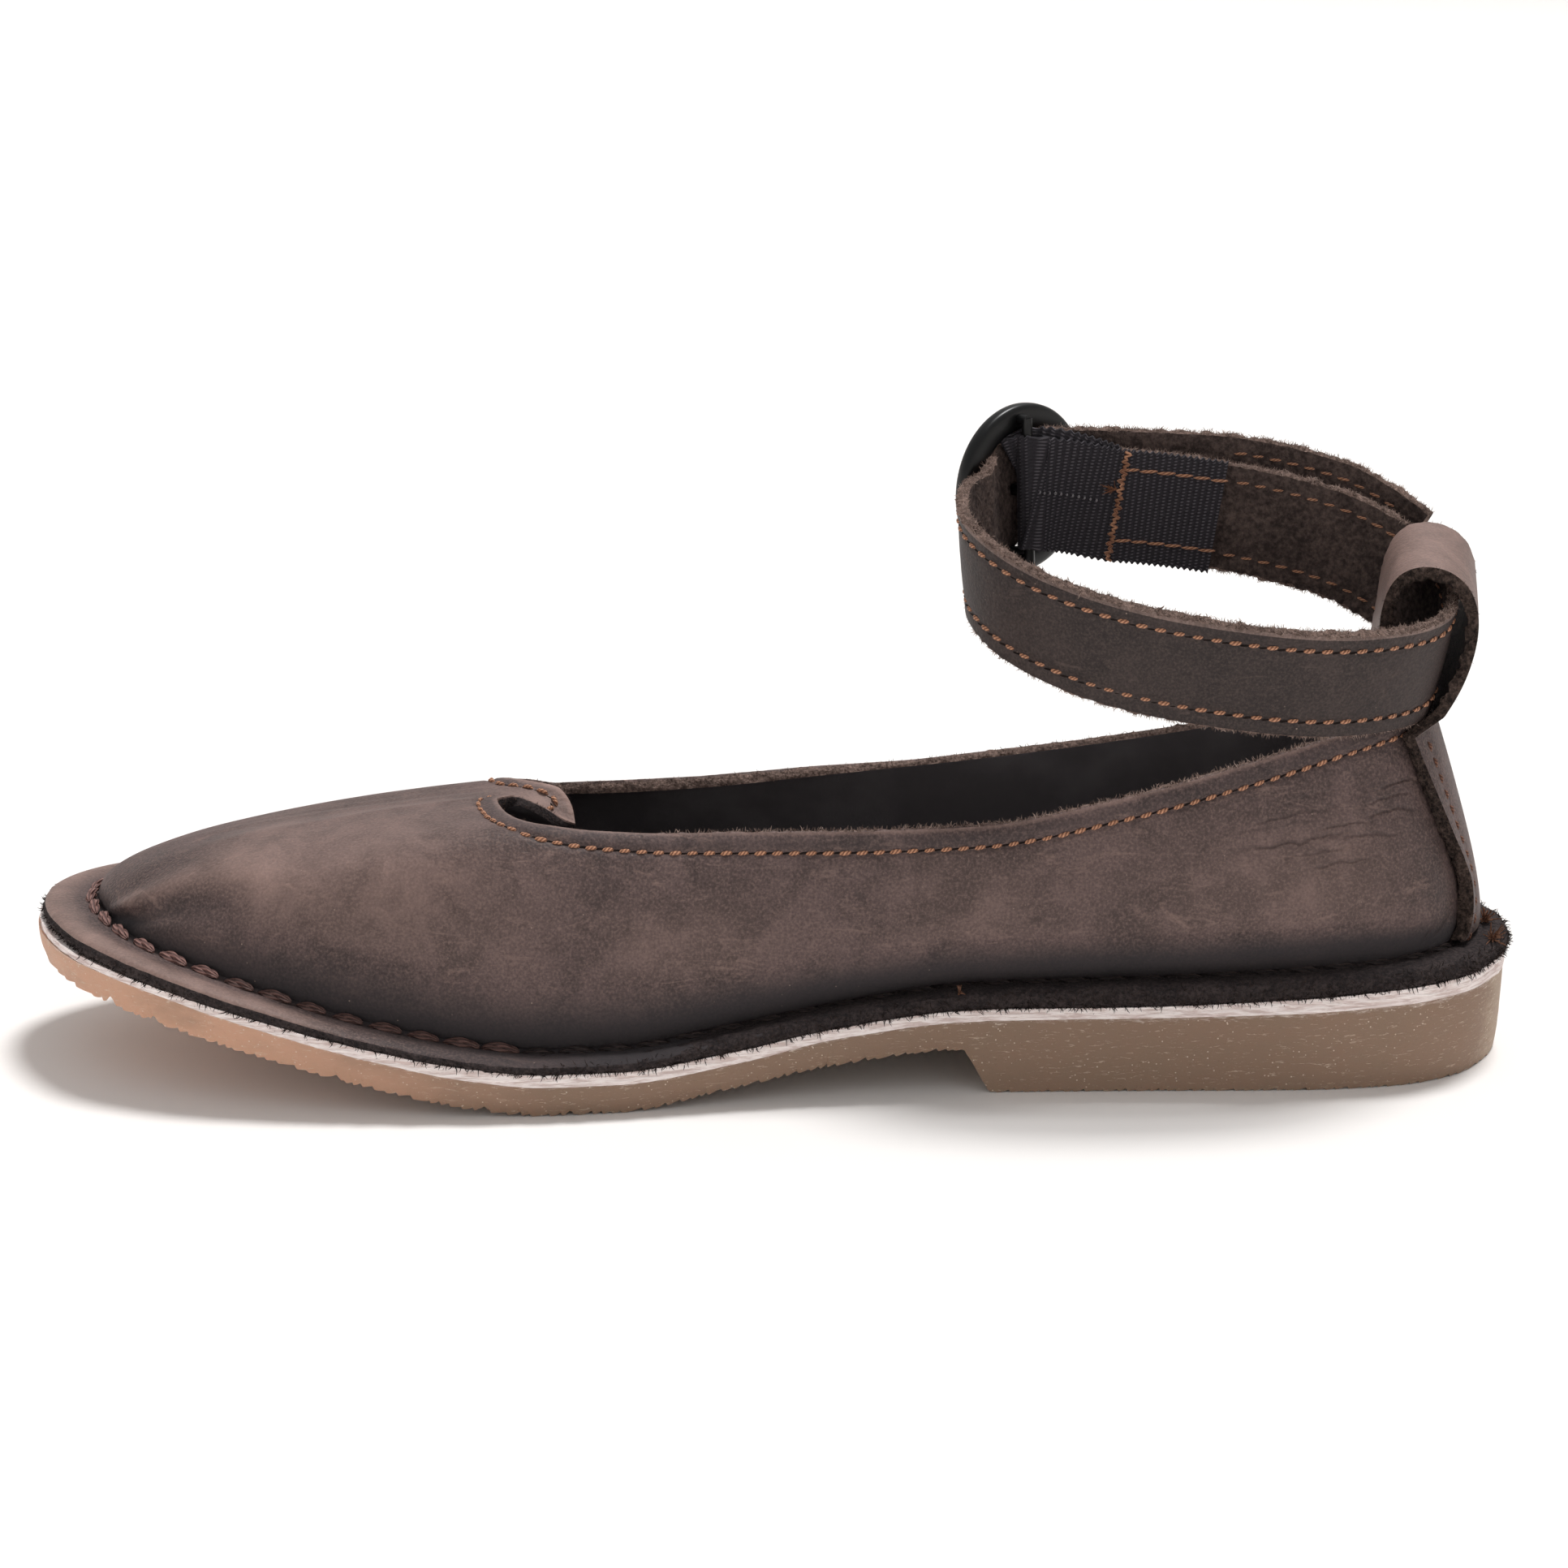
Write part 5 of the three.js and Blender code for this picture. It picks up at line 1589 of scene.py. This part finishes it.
def elastic_route():
    """Inner run, fold round the bar, and outer run back to the strap."""
    bar_at, along, out, _ = buckle_frame()
    inner, inner_up = oval_run(ELASTIC_INNER, 60)
    outer, outer_up = oval_run(ELASTIC_OUTER, 30)
    reach = RING["bar"] + GAP + ELASTIC_THICKNESS / 2
    angle = np.linspace(0, math.pi, 25)[:, None]
    fold = bar_at - out * reach * np.cos(angle) + along * reach * np.sin(angle)
    fold_up = np.broadcast_to(oval_frame(BUCKLE_TURN)[2], fold.shape)
    points = np.vstack([inner, fold, outer])
    ups = np.vstack([inner_up, fold_up, outer_up])
    run = run_along(points)
    even = np.arange(0, run[-1], 0.12)
    return softened(picked(even, run, points), 9), unit(picked(even, run, ups)), even


def elastic_band(points, axes, run):
    """Ribbed webbing with scalloped edges and the prong's way through it."""
    across, through, _ = band_section(ELASTIC_WIDTH, ELASTIC_THICKNESS - 0.2, 26, 26, 2, 0.15)
    rib = np.cos(2 * math.pi * run / RIB_PITCH)[:, None]
    grid = band_grid(points, axes, across, through + np.sign(through) * 0.09 * rib)
    scallop = 0.22 * rib * (np.abs(across) > ELASTIC_WIDTH / 2 - 0.6)
    grid = grid + axes[2][:, None] * (np.sign(across) * scallop)[..., None]
    uv = np.stack([np.repeat(run * MM, len(across)), np.tile(across * MM, len(run))], -1)
    return cut(grid_piece("elastic_webbing", grid, [WEBBING], 0, False, 0, uv), [prong_cutter()])


def tuft(name, at, lean, count, length, girth, finish, seed):
    """A few loose thread ends standing out of one spot."""
    luck = np.random.default_rng(seed)
    ends = []
    for k in range(count):
        away = unit(np.asarray(lean, float) + luck.normal(0, 0.55, 3))
        bend = luck.normal(0, 0.25, 3) * length
        reach = length * luck.uniform(0.5, 1.0)
        path = spline([at, at + away * reach * 0.5 + bend * 0.3, at + away * reach + bend], 4)
        ends.append(tube(f"{name}_{k}", path, np.linspace(girth, girth * 0.4, len(path)), 5, finish))
    return joined(name, ends)


# Strokes of the bar tack
TACK_STROKES = 46


def elastic_threads(points, axes, run):
    """Bar tack where the elastic is sewn to the strap, its two seams, and a row of pale loops."""
    face = -(ELASTIC_THICKNESS / 2 + 0.12)
    tack_at = int(np.argmin(np.abs(points[:len(points) // 2, 0] - TACK_X)))
    stroke = np.arange(TACK_STROKES)
    height = np.linspace(ELASTIC_WIDTH / 2 - 0.3, -ELASTIC_WIDTH / 2 + 0.2, TACK_STROKES)
    swing = 0.75 * np.where(stroke % 2 == 0, 1, -1) * (0.6 + 0.4 * np.sin(stroke * 1.7))
    drift = np.linspace(0.1, 0.9, TACK_STROKES)
    along, side, rise = (axis[tack_at] for axis in axes)
    zigzag = (points[tack_at] + rise * height[:, None] + along * (swing + drift)[:, None]
              + side * (face - 0.18 - 0.12 * np.cos(stroke * 2.3))[:, None])
    fluff = points[tack_at] + rise * 3.2 + side * (face - 0.3) + along * 1.2
    pieces = [tube("bar_tack", spline(zigzag, 3), 0.27, 6, COPPER),
              tuft("tack_fluff", fluff, along * 1.4 - side * 0.6, 16, 3.0, 0.12, FIBRE_COPPER, 71)]

    at = np.arange(1.0, run[tack_at] - 0.8, STRAP_SEAM["pitch"])
    lines = [band_grid(points, axes, [across], [face - 0.05])[:, 0] for across in (7.0, -6.4)]
    rows = stacked([seam_on(line, run, axes, at, -1, 6) for line in lines])
    pieces.append(sewn("elastic_stitches", *rows, "flat", COPPER, 0.08, 18))
    at = np.arange(run[tack_at] + 4.5, run[tack_at] + 17, RIB_PITCH)
    spots = picked(at, run, band_grid(points, axes, [0.4], [face - 0.02])[:, 0])
    upright, out = (unit(picked(at, run, axis)) for axis in (axes[2], -axes[1]))
    pieces.append(sewn("elastic_loops", spots, upright, out, "dot", GREY, 0.25, 19))
    return pieces


def make_elastic():
    points, ups, run = elastic_route()
    axes = band_axes(points, ups)
    return [elastic_band(points, axes, run), *elastic_threads(points, axes, run)]


# Loose thread ends on the welt: where they stand, which way, how many and how long
KNOTS = (
    ((131.2, -1.5, 22.8), (0.3, -0.2, 0.8), 30, 2.6),
    ((130.6, -12.0, 22.7), (0.4, -0.6, 0.7), 34, 3.0),
    ((32.7, -31.8, 19.0), (0.2, -0.8, 0.6), 8, 2.0),
)


def make_knots():
    return [tuft(f"thread_end_{k}", np.array(at), lean, count, length, 0.2, FIBRE_RUST, 80 + k)
            for k, (at, lean, count, length) in enumerate(KNOTS)]


def prong_path():
    bar_at, along, out, _ = buckle_frame()
    rest = RING["drop"] + RING["depth"] / 2 + RING["prong"] + GAP
    steps = ((0, RING["bar"] + GAP), (0.3, 3.5), (1.6, rest + 0.2), (4.5, rest + 0.6),
             (8, rest + 0.3), (10.6, rest), (12, rest - 0.2))
    return spline([bar_at + along * a + out * o for a, o in steps], 6)


ROD_SIDES = 14


def make_buckle():
    """Ring with its bar on two posts, and the prong."""
    bar_at, along, out, bar = buckle_frame()
    outer, inner, depth, drop = (RING[key] for key in ("outer", "inner", "depth", "drop"))
    centre = bar_at + out * drop - along * RING["shift"]
    angle = np.linspace(0, 2 * math.pi, 120, endpoint=False)
    section = np.linspace(0, 2 * math.pi, 20, endpoint=False)
    across, through = (np.sign(v) * np.abs(v) ** 0.62 for v in (np.cos(section), np.sin(section)))
    radius = (outer + inner) / 2 + (outer - inner) / 2 * across
    lift = depth / 2 * through
    spoke = along * np.cos(angle)[:, None] + bar * np.sin(angle)[:, None]
    grid = centre + spoke[:, None] * radius[:, None] + out * lift[:, None]
    reach = inner + 2.2
    feet = [bar_at + bar * sign * reach for sign in (-1, 1)]
    paths = [[foot - out * 0.3, foot + out * drop / 2, foot + out * drop] for foot in feet]
    paths.append([bar_at - bar * (reach + 0.4), bar_at, bar_at + bar * (reach + 0.4)])
    hoop = grid_piece("hoop", grid, [GLOSS], 0, True)
    rods = [tube("rod", path, RING["bar"], ROD_SIDES, GLOSS) for path in paths]
    ring = joined("buckle_hoop", [hoop, *rods])
    path = prong_path()
    taper = np.interp(np.linspace(0, 1, len(path)), [0, 0.75, 1], [1, 0.95, 0.7]) * RING["prong"]
    return ring, tube("buckle_tongue", path, taper, ROD_SIDES, GLOSS)


# Backstay and loop

def heel_way(side, climb):
    """Way round the heel at which the wall stands at a given side distance."""
    sign = np.sign(side)
    near, far = np.ones_like(side), np.full_like(side, 0.8)
    for _ in range(40):
        middle = (near + far) / 2
        inside = np.abs(wall_point(np.where(sign == 0, 1, sign) * middle, climb)[..., 1]) < np.abs(side)
        near, far = np.where(inside, middle, near), np.where(inside, far, middle)
    return np.where(sign == 0, 1, sign * near)


# Steps of the backstay: across a face, on an edge, and up the heel
BACKSTAY_ACROSS = 29
BACKSTAY_EDGE = 5
HEEL_ROWS = 44
# Width of the backstay up the heel, as a share of its usual width
BACKSTAY_FLARE = table("climb share", [
    (0.02, 1.20),
    (0.13, 1.05),
    (0.25, 0.98),
    (0.36, 1.07),
    (0.50, 1.18),
    (0.65, 1.21),
    (0.80, 1.19),
    (0.92, 1.15),
])


def backstay_section(outer, inner):
    """Loop of one row: outer face, edge, inner face, edge."""
    s = np.linspace(0, 1, BACKSTAY_EDGE + 2)[1:-1, None]
    swell = 0.3 * np.sin(math.pi * s)
    far = mix(outer[-1], inner[-1], s) + unit(outer[-1] - outer[-2]) * swell
    near = mix(inner[0], outer[0], s) + unit(outer[0] - outer[1]) * swell
    return np.vstack([outer, far, inner[::-1], near])


def heel_rows(shares, seam_share):
    """Rows of the backstay up the heel, and the two lines of its seam as points and normals."""
    dip = 0.32 * np.exp(-((np.abs(shares) - seam_share) / 0.05) ** 2)
    dome = 0.25 * np.cos(np.clip(shares / seam_share, -1, 1) * math.pi / 2) + 0.7 * shares ** 4
    flare = smooth(BACKSTAY_FLARE["climb"], BACKSTAY_FLARE["share"])
    rows, seams = [], {-1: [], 1: []}
    for climb in np.linspace(0.02, 0.92, HEEL_ROWS):
        ways = heel_way(shares * BACKSTAY_WIDTH / 2 * float(flare(climb)), climb)
        inner = wall_offset(ways, climb, GAP, True)
        normal = wall_normal(ways, climb, True)
        outer = inner + normal * (BACKSTAY_THICKNESS - dip + dome)[:, None]
        rows.append(backstay_section(outer, inner))
        for sign, line in seams.items():
            k = int(np.argmin(np.abs(shares - sign * seam_share)))
            line.append((outer[k], normal[k]))
    return rows, seams.values()


def loop_rows(shares):
    """Rows of the loop over the strap."""
    line = softened(spline(np.stack([LOOP[key] for key in ("x", "z", "roll", "sag")], -1), 9), 9)
    x, z, roll, sag = line.T
    along = tangents(np.stack([x, 0 * x, z], -1))
    out = np.stack([along[:, 2], 0 * x, -along[:, 0]], -1)
    side = shares * LOOP_WIDTH / 2
    rows = []
    for i in range(len(line)):
        angle = LOOP_ROLL * roll[i]
        back = LOOP_YAW * side * roll[i] - sag[i] * shares ** 2
        outer = np.stack([x[i] + back, side * math.cos(angle), z[i] + side * math.sin(angle)], -1)
        rows.append(backstay_section(outer, outer - out[i] * BACKSTAY_THICKNESS))
    return rows


def make_backstay():
    shares = np.linspace(-1, 1, BACKSTAY_ACROSS)
    rows, seams = heel_rows(shares, 1 - BACKSTAY_SEAM["inset"] / (BACKSTAY_WIDTH / 2))
    grid = np.stack([*rows, *loop_rows(shares)])
    outer_end = BACKSTAY_ACROSS
    far_end = outer_end + BACKSTAY_EDGE
    inner_end = far_end + BACKSTAY_ACROSS
    part = np.full(grid.shape[1], EDGES)
    part[:outer_end - 1] = OUTER
    part[far_end:inner_end - 1] = INNER
    crumbs = np.where(part == EDGES, 0.42, 0.0)
    crumbs[outer_end - 1:far_end] = 0.1
    grid = crumbled(grid, np.broadcast_to(crumbs, grid.shape[:2]), 0.9, 61)
    leather = grid_piece("heel_backstay", grid, [GRAIN, CRUMB_SUEDE, DARK_SUEDE], part, False, EDGES)
    # Painted highlight: the loop paler towards its top, where the light falls on it
    heights = grid[:, BACKSTAY_ACROSS // 2, 2]
    paler = np.clip((heights - 74) / 18, 0, 1)
    paler[int(np.argmax(heights)):] = 1
    paint(leather, "tone", np.repeat(0.36 * paler, grid.shape[1]))

    stitch_rows = []
    for seam in seams:
        line, normal = (np.array(values) for values in zip(*seam))
        points = resampled(line, BACKSTAY_SEAM["pitch"])[:-1]
        pick = [int(np.argmin(np.linalg.norm(line - p, axis=1))) for p in points]
        up = unit(normal[pick])
        stitch_rows.append((points, slanted(tangents(points), up, 8), up))
    pieces = [leather, sewn("backstay_stitches", *stacked(stitch_rows), "fine", RUST, 0.08, 15)]
    for name, columns, seed in (("backstay_fuzz_far", np.r_[outer_end - 1:far_end + 1], 16),
                                ("backstay_fuzz_near", np.r_[inner_end - 1:grid.shape[1], 0], 17)):
        pieces.append(fuzzed(name, grid[:, columns], FIBRE_DARK, 4.0e6, 0.2, 0.75, 1.0, seed))
    return pieces


# Studio

SKY = 0.46
SUN = 2.5
SUN_FROM = (0.22, 0.27, 1.0)
SUN_SOFTNESS = math.radians(15)
# Floor and the backdrop it turns up into all round: radius and height in metres
SWEEP = ((2.2, 0.0), (2.5, 0.03), (2.75, 0.12), (2.92, 0.28), (3.0, 0.5), (3.0, 1.1))
SWEEP_SIDES = 64


def make_studio():
    turns = np.linspace(0, 2 * math.pi, SWEEP_SIDES, endpoint=False)
    corners = [(r * math.cos(t), r * math.sin(t), h) for t in turns for r, h in SWEEP]
    faces = grid_faces(SWEEP_SIDES, len(SWEEP), True, False)[0].tolist()
    floor_mesh = bpy.data.meshes.new("floor")
    floor_mesh.from_pydata(corners, [], [range(0, len(corners), len(SWEEP)), *faces])
    floor_mesh.polygons.foreach_set("use_smooth", [True] * len(floor_mesh.polygons))
    floor_mesh.materials.append(pale_floor())
    floor = object_from("floor", floor_mesh)

    world = bpy.data.worlds.new("studio")
    world.use_nodes = True
    sky = world.node_tree.nodes["Background"]
    sky.inputs["Color"].default_value = (1, 1, 1, 1)
    sky.inputs["Strength"].default_value = SKY
    bpy.context.scene.world = world

    lamp = bpy.data.lights.new("overhead", "SUN")
    lamp.energy = SUN
    lamp.angle = SUN_SOFTNESS
    holder = object_from("overhead", lamp)
    holder.rotation_euler = Vector(SUN_FROM).to_track_quat("Z", "Y").to_euler()

    lens = bpy.data.cameras.new("camera")
    lens.lens = CAMERA_LENS
    lens.sensor_width = 36
    lens.clip_end = 50
    camera = object_from("camera", lens)
    target = Vector(placed([CAMERA_TARGET])[0])
    away = Vector((0, -math.cos(CAMERA_HEIGHT), math.sin(CAMERA_HEIGHT))) * CAMERA_DISTANCE * MM
    camera.location = target + away
    camera.rotation_euler = (-away).to_track_quat("-Z", "Y").to_euler()
    bpy.context.scene.camera = camera
    bpy.context.scene.view_settings.view_transform = "Standard"


# Assembly

outsole, runner = make_sole()
upper_pieces = make_upper()
strap_pieces = make_strap()
elastic_pieces = make_elastic()
upper_pieces += make_knots()
buckle_ring, buckle_prong = make_buckle()
backstay_pieces = make_backstay()
for helper in [*STITCHES.values(), FIBRE]:
    bpy.data.objects.remove(helper)

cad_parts["insole"].data.materials.clear()
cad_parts["insole"].data.materials.append(INSOLE)

PLACES = (
    ("outsole", "outsole", [outsole]),
    ("runner", "runner", [runner]),
    ("upper", "upper", upper_pieces),
    ("ankle_strap", "ankle_strap", strap_pieces),
    ("elastic", "elastic", elastic_pieces),
    ("buckle_ring", "buckle", [buckle_ring]),
    ("buckle_prong", "buckle", [buckle_prong]),
    ("backstay", "backstay", backstay_pieces),
)
for node, slot, pieces in PLACES:
    for number, piece in enumerate(pieces):
        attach(piece, "root")
        if number == 0:
            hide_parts(node)

make_studio()
